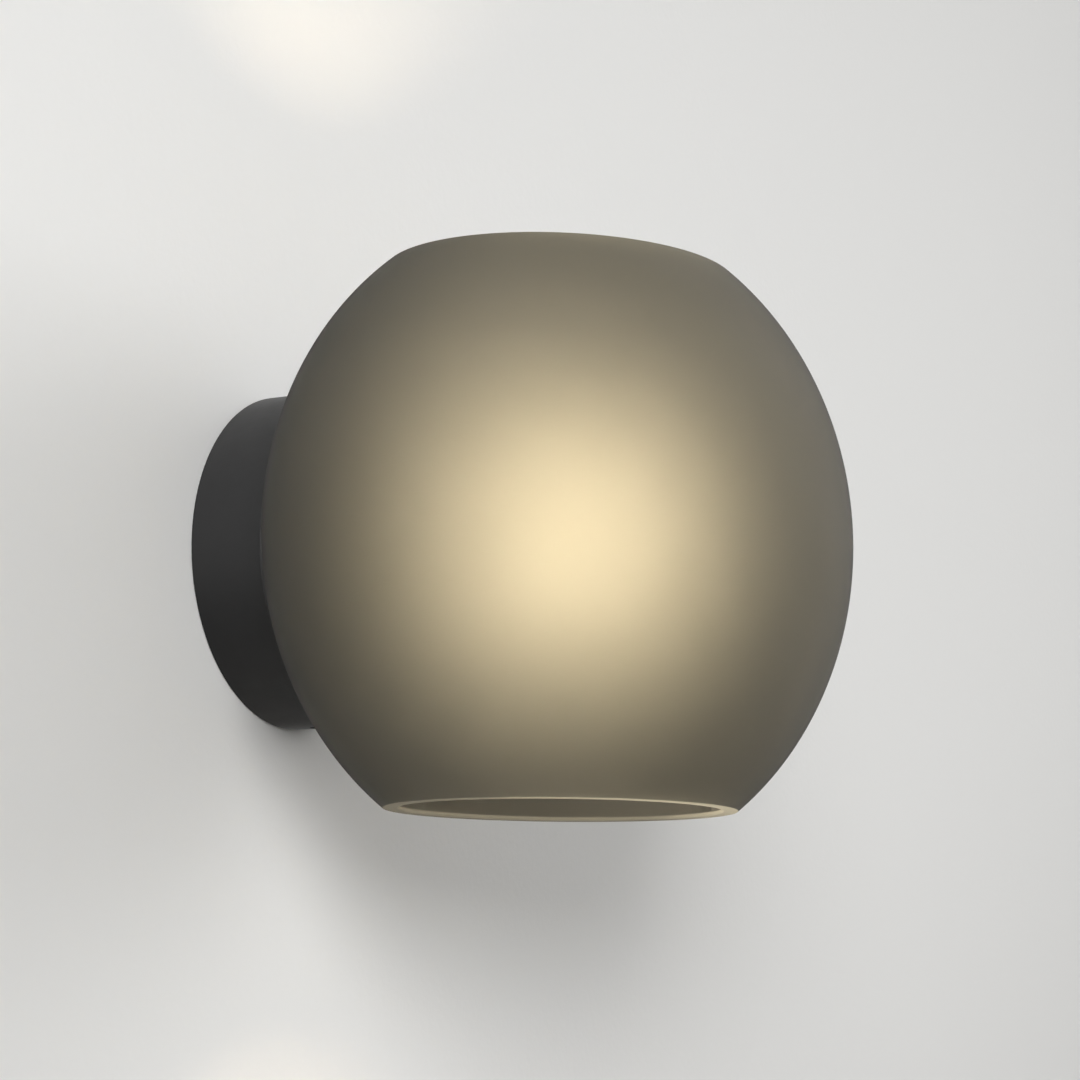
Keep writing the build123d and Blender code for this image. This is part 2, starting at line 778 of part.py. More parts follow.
def make_screw_shell():
    """The holder's thread, rolled from brass sheet, with a flange on the core."""
    outer = shell_radius + shell_sheet
    front = holder_mouth - mouth_lip
    return turned_from(
        *straight((shell_radius, thread_start), (shell_radius, core_front + shell_sheet),
                  (shell_flange_bore, core_front + shell_sheet), (shell_flange_bore, core_front),
                  (outer, core_front), (outer, thread_start)),
        *waves(outer, thread_swing, thread_start, thread_pitch, thread_turns),
        *straight((outer, thread_end), (outer, front), (shell_radius, front), (shell_radius, thread_end)),
        *waves(shell_radius, thread_swing, thread_start, thread_pitch, thread_turns))


def make_contact_tongue():
    """The live spring tongue, from its rivet to the lamp's contact."""
    end = live_rivet_z + tongue_behind
    bend = live_rivet_z - tongue_bend
    back_of_tip = contact_depth - tongue_thick
    half_tip = contact_tip_radius / 2
    outline = Polyline((-core_front, end), (-core_front - tongue_thick, end),
                       (-core_front - tongue_thick, bend), (-contact_depth, half_tip),
                       (-contact_depth, -contact_tip_radius),
                       (-back_of_tip, -contact_tip_radius), (-back_of_tip, half_tip - tongue_mitre / 2),
                       (-core_front, bend - tongue_mitre), close=True)
    tongue = extrude(Plane.YZ * make_face(outline), tongue_width / 2, both=True)
    return tongue - rod(rivet_radius + face_gap, core_back, contact_depth, z=live_rivet_z)


def make_contact_rivets():
    """The rivets that carry the current through the core."""
    live = rod(rivet_radius, core_back, core_front + tongue_thick, z=live_rivet_z)
    neutral = rod(rivet_radius, core_back, core_front, z=neutral_rivet_z)
    return group([live, neutral])


def make_holder_terminals():
    """The brass posts behind the core into which the two leads go."""
    back = core_back - terminal_length
    post = rod(terminal_radius, back, core_back, z=terminal_offset)
    post -= rod(terminal_bore, back, core_back - terminal_floor, z=terminal_offset)
    post -= crosswise(terminal_screw_radius + face_gap, 0, terminal_radius, core_back - terminal_screw_back,
                      terminal_offset)
    return group(mirrored_pair(post))


def make_holder_terminal_screws():
    """The grub screws in the sides of the two posts, down on their wires."""
    tip = lead_radius + face_gap
    end = terminal_radius + terminal_screw_proud
    depth = core_back - terminal_screw_back
    screw = crosswise(terminal_screw_radius, tip, end, depth, terminal_offset)
    slot = block((end - driver_slot, end + past),
                 (depth - terminal_screw_radius, depth + terminal_screw_radius),
                 (terminal_offset - driver_slot / 2, terminal_offset + driver_slot / 2))
    return group(mirrored_pair(screw - slot))


# ============================================================ lamp

def make_bulb_cap():
    """The lamp's screw cap, rolled from nickelled sheet."""
    inner = thread_mid_radius - lamp_cap_sheet
    tail = thread_start - lamp_cap_tail
    tail_outer = insulator_radius + lamp_cap_sheet + face_gap
    plain_end = lamp_cap_end - lamp_cap_flare_length
    flare_inner = lamp_cap_flare - lamp_cap_sheet
    return turned_from(
        *straight((inner, thread_start), (tail_outer - lamp_cap_sheet, tail), (tail_outer, tail),
                  (thread_mid_radius, thread_start)),
        *waves(thread_mid_radius, thread_swing, thread_start, thread_pitch, thread_turns),
        *straight((thread_mid_radius, thread_end), (thread_mid_radius, plain_end),
                  (lamp_cap_flare, lamp_cap_end), (flare_inner, lamp_cap_end), (inner, plain_end),
                  (inner, thread_end)),
        *waves(inner, thread_swing, thread_start, thread_pitch, thread_turns))


def make_bulb_insulator():
    """The black insulator at the cap's end."""
    back = contact_depth + contact_height
    front = back + insulator_length
    return turned((0, back), (contact_radius + insulator_land, back),
                  (insulator_radius, front - insulator_rim), (insulator_radius, front), (0, front))


def make_bulb_contact():
    tip = contact_depth
    return turned((0, tip), (contact_tip_radius, tip), (contact_radius, tip + contact_height),
                  (0, tip + contact_height))


def make_bulb_housing():
    """The white housing that widens from the cap to the globe."""
    collar = thread_mid_radius - lamp_cap_sheet - thread_swing - 2 * face_gap
    collar_inner = collar - housing_wall
    collar_back = lamp_cap_end - housing_collar
    middle = (lamp_cap_end + neck_depth) / 2
    side = (lamp_cap_flare + neck_radius) / 2 - housing_hollow
    neck_inner = neck_radius - housing_wall
    return turned_from(
        *straight((collar, collar_back), (collar, lamp_cap_end), (lamp_cap_flare, lamp_cap_end)),
        curved((lamp_cap_flare, lamp_cap_end), (side, middle), (neck_radius, neck_depth)),
        *straight((neck_radius, neck_depth), (neck_inner, neck_depth)),
        curved((neck_inner, neck_depth), (side - housing_wall, middle), (collar_inner, lamp_cap_end)),
        *straight((collar_inner, lamp_cap_end), (collar_inner, collar_back), (collar, collar_back)))


def make_bulb_globe():
    """The opal globe, a hollow ball with its neck on the housing."""
    inner = globe_radius - globe_wall
    neck_inner = sqrt(inner ** 2 - (globe_centre - neck_depth) ** 2)
    return turned_from(
        curved((neck_radius, neck_depth), (globe_radius, globe_centre), (0, lamp_front)),
        *straight((0, lamp_front), (0, lamp_front - globe_wall)),
        curved((0, lamp_front - globe_wall), (inner, globe_centre), (neck_inner, neck_depth)),
        *straight((neck_inner, neck_depth), (neck_radius, neck_depth)))


def make_heat_sink():
    """The aluminium cup in the housing, whose floor carries the LED board."""
    rim = neck_radius - housing_wall - sink_gap
    tail = lamp_cap_flare - 2 * housing_wall
    return turned((tail, sink_back), (rim, led_board_back), (0, led_board_back), (0, driver_front),
                  (rim - sink_side_wall, driver_front), (tail - sink_wall, sink_back))


def make_led_board():
    return rod(neck_radius - 2 * housing_wall, led_board_back, neck_depth)


def make_led_chips():
    """The ring of emitters on the board."""
    chips = []
    half = led_size / 2
    for place in PolarLocations(led_circle, led_count):
        x, z = place.position.X, place.position.Y
        chips.append(block((x - half, x + half), (neck_depth, neck_depth + led_height), (z - half, z + half)))
    return group(chips)


def make_driver_board():
    return block((-driver_width / 2, driver_width / 2), (driver_front - driver_length, driver_front),
                 (-driver_thick / 2, driver_thick / 2))


def make_driver_components():
    """A capacitor and a rectifier above the board, and a coil below it."""
    back = driver_front - driver_length
    face = driver_thick / 2
    capacitor = rod(capacitor_radius, back + capacitor_start, back + capacitor_start + capacitor_length,
                    z=face + capacitor_radius)
    rectifier = block((-rectifier_width / 2, rectifier_width / 2),
                      (back + rectifier_start, back + rectifier_start + rectifier_length),
                      (face, face + rectifier_height))
    coil = block((-coil_width / 2, coil_width / 2), (back + coil_start, back + coil_start + coil_length),
                 (-face - coil_height, -face))
    coil = fillet(coil.edges().filter_by(Axis.Z), coil_round)
    return group([capacitor, rectifier, coil])


def make_driver_wires():
    """The two wires from the driver to the cap's contact and side."""
    start = contact_depth + contact_height + insulator_length
    end = driver_front - driver_length
    return group([rod(driver_wire_radius, start, end, x=x) for x in (-driver_wire_x, driver_wire_x)])


# ============================================================ every node

top_set_screw = make_set_screw()

nodes = {
    "wall_bracket": make_wall_bracket(),
    "cable_grommet": make_cable_grommet(),
    "bracket_earth_screw": make_bracket_earth_screw(),
    "bracket_earth_washer": make_bracket_earth_washer(),
    "canopy": make_canopy(),
    "wall_foam": make_wall_foam(),
    "rim_bosses": make_rim_bosses(),
    "top_set_screw": top_set_screw,
    "bottom_set_screw": mirror(top_set_screw, about=Plane.XY),
    "nipple": make_nipple(),
    "lock_nut": make_lock_nut(),
    "tooth_washer": make_tooth_washer(),
    "nipple_bush": make_nipple_bush(),
    "terminal_block": make_terminal_block(),
    "terminal_poles": make_terminal_poles(),
    "terminal_screws": make_terminal_screws(),
    "block_screws": make_block_screws(),
    "earth_stud": make_earth_stud(),
    "earth_washer": make_earth_washer(),
    "earth_lug": make_earth_lug(),
    "earth_nut": make_earth_nut(),
    "earth_lead": make_earth_lead(),
    "live_lead": make_mains_lead(pole_spacing, live_turn_z, 1),
    "neutral_lead": make_mains_lead(0.0, neutral_turn_z, -1),
    "glass_shade": make_glass_shade(),
    "back_ring": make_back_ring(),
    "front_ring": make_front_ring(),
    "glass_carrier": make_glass_carrier(),
    "clamp_ring": make_clamp_ring(),
    "holder_cap": make_holder_cap(),
    "holder_skirt": make_holder_skirt(),
    "holder_core": make_holder_core(),
    "screw_shell": make_screw_shell(),
    "contact_tongue": make_contact_tongue(),
    "contact_rivets": make_contact_rivets(),
    "holder_terminals": make_holder_terminals(),
    "holder_terminal_screws": make_holder_terminal_screws(),
    "bulb_cap": make_bulb_cap(),
    "bulb_insulator": make_bulb_insulator(),
    "bulb_contact": make_bulb_contact(),
    "bulb_housing": make_bulb_housing(),
    "bulb_globe": make_bulb_globe(),
    "heat_sink": make_heat_sink(),
    "led_board": make_led_board(),
    "led_chips": make_led_chips(),
    "driver_board": make_driver_board(),
    "driver_components": make_driver_components(),
    "driver_wires": make_driver_wires(),
}

for name, piece in nodes.items():
    export_step(piece, f"parts/{name}.step")

print(len(nodes), "nodes written")
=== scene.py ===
import math

import bpy
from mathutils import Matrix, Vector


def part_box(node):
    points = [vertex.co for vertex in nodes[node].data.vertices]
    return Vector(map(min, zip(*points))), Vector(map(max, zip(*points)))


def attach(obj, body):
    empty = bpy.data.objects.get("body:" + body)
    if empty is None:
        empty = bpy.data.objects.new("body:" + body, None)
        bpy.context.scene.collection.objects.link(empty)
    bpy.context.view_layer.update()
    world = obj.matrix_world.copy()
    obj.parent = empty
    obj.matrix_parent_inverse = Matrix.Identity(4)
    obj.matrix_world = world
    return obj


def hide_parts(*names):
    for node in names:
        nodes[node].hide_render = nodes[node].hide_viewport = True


bl_info = {
    "name": "Globe wall sconce",
    "version": (1, 0, 0),
    "blender": (4, 5, 0),
    "location": "3D View > Sidebar > Sconce",
    "description": "Dresses a globe wall sconce of smoked satin glass and sets its stage",
    "category": "Object",
}

# Everything is in metres. The wall is the plane Y = 0, and the lamp stands out from it along -Y,
# with Z up.
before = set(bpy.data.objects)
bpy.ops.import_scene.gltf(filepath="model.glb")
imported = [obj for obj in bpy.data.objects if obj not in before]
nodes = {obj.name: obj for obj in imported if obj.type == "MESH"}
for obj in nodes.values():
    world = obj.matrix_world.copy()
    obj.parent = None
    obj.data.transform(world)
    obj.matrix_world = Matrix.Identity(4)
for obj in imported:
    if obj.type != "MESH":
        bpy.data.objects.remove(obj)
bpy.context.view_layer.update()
glass_low, glass_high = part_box("glass_shade")
lamp_low, lamp_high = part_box("bulb_globe")

MM = 0.001

# How finely the globe is made.
SKIN_STEPS = 72                  # points up one skin of the glass
SKIN_END = SKIN_STEPS - 0.5      # between the outer skin's last point and the inner one's first
CORNER_SHARE = 0.999             # a point this far along its half of a skin is a corner
RIM_STEPS = 9                    # points round each edge of a rim
SPIN_STEPS = 256                 # points round the globe
HOLE_STEPS = 96                  # points round the hole in its flat back
SPIN_RADIUS = 80 * MM            # any radius inside the belt that the wall's outline is spun from
CREASE = math.radians(20)        # edges sharper than this stay sharp

# How the glass takes light, and where its painted glow and painted rim highlights fall.
SLANT_POWER = 3.0                # how late its tint falls off towards the limb
# The next three set painted light: the glass's painted glow, and the painted highlights and painted
# shade on its rims.
LOW_GLOW = 0.4                   # its glow at the lower mouth, as a share of the glow high up
RIM_FACE = 0.8                   # the light from a rim's flat face, as a share of its inner edge's
RIM_BACK = 0.3                   # the light from a rim's back half, as a share of its front's

# The photograph's viewpoint.
CAMERA_PLACE = (-0.9400, -0.6480, -0.1601)
CAMERA_TURN = math.radians(-59.942)
CAMERA_TILT = math.radians(8.429)
CAMERA_LENS = 106.2              # mm
CAMERA_SENSOR = 36.0             # mm

# The studio.
KEY_PLACE, KEY_SIZE = (-1.80, -1.40, 0.52), 0.9
FILL_PLACE, FILL_SIZE = (1.9, -1.1, 0.7), 1.4
LIGHT_SPREAD = math.radians(75)
ROOM_SEEN = 0.72                 # how pale the room shows to the eye, in gloss and through glass
FLOOR_GLOW = 0.4                 # how much of its colour the floor gives to the eye by itself
CANOPY_REACH = 68 * MM           # light that sets out nearer to the wall is inside the canopy
WALL_GAP = 0.5 * MM              # between the lamp's foam and the wall sheet


# ============================================================ sizes and colours a user would change

class SconceGlass(bpy.types.PropertyGroup):
    """The blown glass."""

    width: bpy.props.FloatProperty(
        name="Width", description="Across the globe, and its full height before it is cut level",
        default=glass_high[0] - glass_low[0], min=0.05, subtype="DISTANCE", unit="LENGTH")
    thickness: bpy.props.FloatProperty(
        name="Thickness", description="Front to back, of the whole flattened ball",
        default=192.4 * MM, min=0.05, subtype="DISTANCE", unit="LENGTH")
    height: bpy.props.FloatProperty(
        name="Height", description="Between the two level cuts",
        default=glass_high[2] - glass_low[2], min=0.03, subtype="DISTANCE", unit="LENGTH")
    front: bpy.props.FloatProperty(
        name="Front", description="From the wall to the front of the globe", default=-glass_low[1],
        min=0.05, subtype="DISTANCE", unit="LENGTH")
    seat: bpy.props.FloatProperty(
        name="Seat", description="From the wall to the globe's flat back", default=-glass_high[1],
        min=0.0, subtype="DISTANCE", unit="LENGTH")
    wall: bpy.props.FloatProperty(
        name="Wall", description="Thickness of the glass", default=4 * MM, min=0.001,
        subtype="DISTANCE", unit="LENGTH")
    hole_radius: bpy.props.FloatProperty(
        name="Hole radius", description="The hole in the flat back, for the holder",
        default=21 * MM, min=0.005, subtype="DISTANCE", unit="LENGTH")
    top_rim: bpy.props.FloatProperty(
        name="Top rim", description="Rounding of the upper cut's outer edge", default=2.2 * MM,
        min=0.0, subtype="DISTANCE", unit="LENGTH")
    bottom_rim: bpy.props.FloatProperty(
        name="Bottom rim", description="Rounding of the lower cut's outer edge", default=0.8 * MM,
        min=0.0, subtype="DISTANCE", unit="LENGTH")
    inner_rim: bpy.props.FloatProperty(
        name="Inner rim", description="Rounding of both cuts' inner edges", default=0.6 * MM,
        min=0.0, subtype="DISTANCE", unit="LENGTH")
    colour: bpy.props.FloatVectorProperty(
        name="Glass colour", description="What the smoked glass lets through", subtype="COLOR",
        size=3, min=0.0, max=1.0, default=(0.090, 0.0895, 0.0780))
    edge_colour: bpy.props.FloatVectorProperty(
        name="Edge colour",
        description="What it lets through where the light crosses it at a slant", subtype="COLOR",
        size=3, min=0.0, max=1.0, default=(0.004, 0.004, 0.004))
    roughness: bpy.props.FloatProperty(
        name="Satin", description="How widely the etched surface scatters light", default=0.92,
        min=0.0, max=1.0, subtype="FACTOR")
    # The glow and the rim glow are painted light: an emission on the glass that stands in for the
    # lamp's light scattered in it and coming out at its rims.
    glow_colour: bpy.props.FloatVectorProperty(
        name="Glow colour", description="The lamp's light that has bounced about in the glass",
        subtype="COLOR", size=3, min=0.0, max=1.0, default=(1.0, 0.87, 0.60))
    glow: bpy.props.FloatProperty(
        name="Glow", description="Radiance of that light, where 1 is white paper in the studio",
        default=0.14, min=0.0)
    rim_glow: bpy.props.FloatProperty(
        name="Rim glow", description="Radiance of the ground rims, on the same scale", default=0.50,
        min=0.01)
    refraction: bpy.props.FloatProperty(
        name="Index of refraction", description="Soda-lime glass is about 1.5", default=1.5,
        min=1.0, max=2.0)


class SconceLamp(bpy.types.PropertyGroup):
    """The lit lamp."""

    colour: bpy.props.FloatVectorProperty(
        name="Light colour", description="The warm white of the lamp", subtype="COLOR", size=3,
        min=0.0, max=1.0, default=(1.0, 0.82, 0.57))
    brightness: bpy.props.FloatProperty(
        name="Brightness",
        description="Radiance of the opal globe, where 1 is white paper in the studio",
        default=92.0, min=0.0)


class SconceStage(bpy.types.PropertyGroup):
    """The wall, the floor and the studio light."""

    wall_colour: bpy.props.FloatVectorProperty(
        name="Wall colour", description="Off-white plaster", subtype="COLOR", size=3,
        min=0.0, max=1.0, default=(0.80, 0.80, 0.79))
    wall_size: bpy.props.FloatProperty(
        name="Wall size", description="Width and height of the wall", default=7.0, min=1.0,
        subtype="DISTANCE", unit="LENGTH")
    floor_drop: bpy.props.FloatProperty(
        name="Floor below", description="From the lamp's axis down to the floor", default=1.1,
        min=0.3, subtype="DISTANCE", unit="LENGTH")
    sky: bpy.props.FloatProperty(
        name="Room light", description="Radiance of the light from all sides", default=0.19,
        min=0.0)
    key_power: bpy.props.FloatProperty(
        name="Key light", description="Power of the large lamp on the left", default=8.8,
        min=0.0, subtype="POWER", unit="POWER")
    fill_power: bpy.props.FloatProperty(
        name="Fill light", description="Power of the large lamp on the right", default=6.4,
        min=0.0, subtype="POWER", unit="POWER")


# ============================================================ how materials are made

def linear(colour):
    """The linear colour of an sRGB hex value such as "#807a6e"."""
    parts = [int(colour[start:start + 2], 16) / 255 for start in (1, 3, 5)]
    return (*(part / 12.92 if part <= 0.04045 else ((part + 0.055) / 1.055) ** 2.4
              for part in parts), 1.0)


def add(tree, kind, inputs=None, **settings):
    """Adds a node, sets what it is given, and fills its inputs with values or links."""
    node = tree.nodes.new(kind)
    for name, value in settings.items():
        setattr(node, name, value)
    for name, value in (inputs or {}).items():
        if isinstance(value, bpy.types.NodeSocket):
            tree.links.new(value, node.inputs[name])
        elif isinstance(value, list):
            for source in value:
                tree.links.new(source, node.inputs[name])
        else:
            node.inputs[name].default_value = value
    return node


def new_material(name):
    material = bpy.data.materials.new(name)
    material.use_nodes = True
    material.node_tree.nodes.clear()
    return material, material.node_tree


def give(material, *names):
    """Puts a material on CAD nodes."""
    for name in names:
        slots = nodes[name].data.materials
        slots.clear()
        slots.append(material)


def surface(name, colour, shade, roughness, spread=0.08, metallic=0.0, patch=6.0, grain=0.4,
            depth=0.01, turned=False, **finish):
    """An opaque finish: its colour drifts between two tones over patches, under a fine grain.

    patch, grain and depth are in millimetres. A turned finish has its grain in rings round the
    lamp's axis.
    """
    material, tree = new_material(name)
    place = add(tree, "ShaderNodeTexCoord").outputs["Object"]
    patches = add(tree, "ShaderNodeTexNoise", {"Vector": place, "Scale": 1 / (patch * MM),
                                               "Detail": 4.0, "Roughness": 0.6})
    tones = add(tree, "ShaderNodeMix", {"Factor": patches.outputs["Fac"], "A": linear(shade),
                                        "B": linear(colour)}, data_type="RGBA")
    rough = add(tree, "ShaderNodeMapRange", {"Value": patches.outputs["Fac"], "From Min": 0.3,
                                             "From Max": 0.7, "To Min": roughness + spread,
                                             "To Max": roughness - spread})
    if turned:
        parts = add(tree, "ShaderNodeSeparateXYZ", {"Vector": place})
        flat = add(tree, "ShaderNodeCombineXYZ", {"X": parts.outputs["X"], "Y": parts.outputs["Z"]})
        radius = add(tree, "ShaderNodeVectorMath", {"Vector": flat.outputs["Vector"]},
                     operation="LENGTH")
        place = add(tree, "ShaderNodeCombineXYZ", {"X": radius.outputs["Value"],
                                                   "Y": parts.outputs["Y"]})
        place = place.outputs["Vector"]
    fine = add(tree, "ShaderNodeTexNoise", {"Vector": place, "Scale": 1 / (grain * MM),
                                            "Detail": 3.0})
    bump = add(tree, "ShaderNodeBump", {"Height": fine.outputs["Fac"], "Strength": 1.0,
                                        "Distance": depth * MM})
    values = {"Base Color": tones.outputs[2], "Roughness": rough.outputs["Result"],
              "Metallic": metallic, "Normal": bump.outputs["Normal"]}
    values.update(finish)
    skin = add(tree, "ShaderNodeBsdfPrincipled", values)
    add(tree, "ShaderNodeOutputMaterial", {"Surface": skin.outputs["BSDF"]})
    return material


# ============================================================ how pieces are made

def new_tree(name, sizes):
    """A geometry tree with one input for each named size, and one for the material."""
    tree = bpy.data.node_groups.new(name, "GeometryNodeTree")
    for size in sizes:
        tree.interface.new_socket(size, in_out="INPUT", socket_type="NodeSocketFloat")
    tree.interface.new_socket("Material", in_out="INPUT", socket_type="NodeSocketMaterial")
    tree.interface.new_socket("Geometry", in_out="OUTPUT", socket_type="NodeSocketGeometry")
    return tree, add(tree, "NodeGroupInput").outputs


def close_tree(tree, shape, material):
    """Smooths the faces, keeps the creases, makes the result real and gives it its material."""
    smooth = add(tree, "GeometryNodeSetShadeSmooth", {"Geometry": shape, "Shade Smooth": True})
    angle = add(tree, "GeometryNodeInputMeshEdgeAngle").outputs["Unsigned Angle"]
    flat = add(tree, "FunctionNodeCompare", {"A": angle, "B": CREASE}, data_type="FLOAT",
               operation="LESS_THAN")
    creased = add(tree, "GeometryNodeSetShadeSmooth", {"Geometry": smooth.outputs[0],
                                                       "Shade Smooth": flat.outputs[0]},
                  domain="EDGE")
    real = add(tree, "GeometryNodeRealizeInstances", {"Geometry": creased.outputs[0]})
    coated = add(tree, "GeometryNodeSetMaterial", {"Geometry": real.outputs[0],
                                                   "Material": material})
    add(tree, "NodeGroupOutput", {"Geometry": coated.outputs[0]})


def grow(name, tree, values):
    """Runs a geometry tree with these inputs. The result is a plain mesh object at the origin."""
    seed = bpy.data.objects.new(name + "_seed", bpy.data.meshes.new(name + "_seed"))
    bpy.context.scene.collection.objects.link(seed)
    modifier = seed.modifiers.new("shape", "NODES")
    modifier.node_group = tree
    for socket in tree.interface.items_tree:
        if socket.in_out == "INPUT":
            modifier[socket.identifier] = values[socket.name]
    ready = seed.evaluated_get(bpy.context.evaluated_depsgraph_get())
    mesh = bpy.data.meshes.new_from_object(ready)
    mesh.name = name
    bpy.data.objects.remove(seed)
    if not mesh.polygons:
        raise RuntimeError(name + " came out empty")
    piece = bpy.data.objects.new(name, mesh)
    bpy.context.scene.collection.objects.link(piece)
    return piece


def globe_tree():
    """A ball's belt spun round Z and flattened along Y, with a flat back that has a hole in it."""
    tree, size = new_tree("glass_globe", ("Width", "Thickness", "Height", "Front", "Seat", "Wall",
                                          "Hole radius", "Top rim", "Bottom rim", "Inner rim"))
    half = add(tree, "ShaderNodeMath", {0: size["Width"], 1: 0.5}, operation="MULTIPLY").outputs[0]
    rise = add(tree, "ShaderNodeMath", {0: size["Height"], 1: 0.5}, operation="MULTIPLY").outputs[0]
    deep = add(tree, "ShaderNodeMath", {0: size["Thickness"], 1: 0.5},
               operation="MULTIPLY").outputs[0]
    centre = add(tree, "ShaderNodeMath", {0: deep, 1: size["Front"]},
                 operation="SUBTRACT").outputs[0]

    # The wall's outline: up the outer skin, then down the inner one.
    step = add(tree, "GeometryNodeInputIndex").outputs[0]
    inner = add(tree, "ShaderNodeMath", {0: step, 1: SKIN_END}, operation="GREATER_THAN").outputs[0]
    sunk = add(tree, "ShaderNodeMath", {0: inner, 1: size["Wall"]}, operation="MULTIPLY").outputs[0]
    radius = add(tree, "ShaderNodeMath", {0: half, 1: sunk}, operation="SUBTRACT").outputs[0]
    sine = add(tree, "ShaderNodeMath", {0: rise, 1: radius}, operation="DIVIDE").outputs[0]
    reach = add(tree, "ShaderNodeMath", {0: sine}, operation="ARCSINE").outputs[0]
    there_and_back = add(tree, "ShaderNodeMath", {0: step, 1: SKIN_END},
                         operation="PINGPONG").outputs[0]
    along = add(tree, "ShaderNodeMapRange", {"Value": there_and_back, "From Max": SKIN_STEPS - 1,
                                             "To Min": -1.0, "To Max": 1.0}).outputs["Result"]
    angle = add(tree, "ShaderNodeMath", {0: along, 1: reach}, operation="MULTIPLY").outputs[0]
    cosine = add(tree, "ShaderNodeMath", {0: angle}, operation="COSINE").outputs[0]
    out = add(tree, "ShaderNodeMath", {0: cosine, 1: radius, 2: -SPIN_RADIUS},
              operation="MULTIPLY_ADD").outputs[0]
    # A profile's Y comes out as -Z when it is spun.
    negative = add(tree, "ShaderNodeMath", {0: angle, 1: -1.0}, operation="MULTIPLY").outputs[0]
    low = add(tree, "ShaderNodeMath", {0: negative}, operation="SINE").outputs[0]
    down = add(tree, "ShaderNodeMath", {0: low, 1: radius}, operation="MULTIPLY").outputs[0]
    place = add(tree, "ShaderNodeCombineXYZ", {"X": out, "Y": down}).outputs[0]
    line = add(tree, "GeometryNodeMeshLine", {"Count": 2 * SKIN_STEPS}).outputs[0]
    bent = add(tree, "GeometryNodeSetPosition", {"Geometry": line, "Position": place}).outputs[0]
    open_curve = add(tree, "GeometryNodeMeshToCurve", {"Mesh": bent}).outputs[0]
    closed = add(tree, "GeometryNodeSetSplineCyclic", {"Geometry": open_curve,
                                                       "Cyclic": True}).outputs[0]

    # Its four corners are rounded, each by its own radius.
    swing = add(tree, "ShaderNodeMath", {0: along}, operation="ABSOLUTE").outputs[0]
    corner = add(tree, "ShaderNodeMath", {0: swing, 1: CORNER_SHARE},
                 operation="GREATER_THAN").outputs[0]
    upper = add(tree, "ShaderNodeMath", {0: along, 1: 0.0}, operation="GREATER_THAN").outputs[0]
    outer_round = add(tree, "ShaderNodeMix", {"Factor": upper, "A": size["Bottom rim"],
                                              "B": size["Top rim"]}).outputs[0]
    round_by = add(tree, "ShaderNodeMix", {"Factor": inner, "A": outer_round,
                                           "B": size["Inner rim"]}).outputs[0]
    rounding = add(tree, "ShaderNodeMath", {0: corner, 1: round_by},
                   operation="MULTIPLY").outputs[0]
    profile = add(tree, "GeometryNodeFilletCurve", {"Curve": closed, "Count": RIM_STEPS,
                                                    "Radius": rounding}, mode="POLY").outputs[0]
    circle = add(tree, "GeometryNodeCurvePrimitiveCircle", {"Resolution": SPIN_STEPS,
                                                            "Radius": SPIN_RADIUS})
    belt = add(tree, "GeometryNodeCurveToMesh", {"Curve": circle.outputs[0],
                                                 "Profile Curve": profile}).outputs[0]

    # Flattening along Y takes the inner skin a little further, so the wall keeps its thickness in
    # front.
    spot = add(tree, "GeometryNodeInputPosition").outputs[0]
    reached = add(tree, "ShaderNodeVectorMath", {0: spot}, operation="LENGTH").outputs["Value"]
    under = add(tree, "ShaderNodeMath", {0: half, 1: reached}, operation="SUBTRACT").outputs[0]
    share = add(tree, "ShaderNodeMath", {0: under, 1: size["Wall"]}, operation="DIVIDE",
                use_clamp=True).outputs[0]
    squash = add(tree, "ShaderNodeMath", {0: deep, 1: half}, operation="DIVIDE").outputs[0]
    inner_half = add(tree, "ShaderNodeMath", {0: half, 1: size["Wall"]},
                     operation="SUBTRACT").outputs[0]
    inner_deep = add(tree, "ShaderNodeMath", {0: deep, 1: size["Wall"]},
                     operation="SUBTRACT").outputs[0]
    inner_squash = add(tree, "ShaderNodeMath", {0: inner_deep, 1: inner_half},
                       operation="DIVIDE").outputs[0]
    ratio = add(tree, "ShaderNodeMix", {"Factor": share, "A": squash, "B": inner_squash}).outputs[0]
    parts = add(tree, "ShaderNodeSeparateXYZ", {"Vector": spot}).outputs
    depth = add(tree, "ShaderNodeMath", {0: parts["Y"], 1: ratio, 2: centre},
                operation="MULTIPLY_ADD").outputs[0]
    moved = add(tree, "ShaderNodeCombineXYZ", {"X": parts["X"], "Y": depth,
                                               "Z": parts["Z"]}).outputs[0]
    flattened = add(tree, "GeometryNodeSetPosition", {"Geometry": belt,
                                                      "Position": moved}).outputs[0]

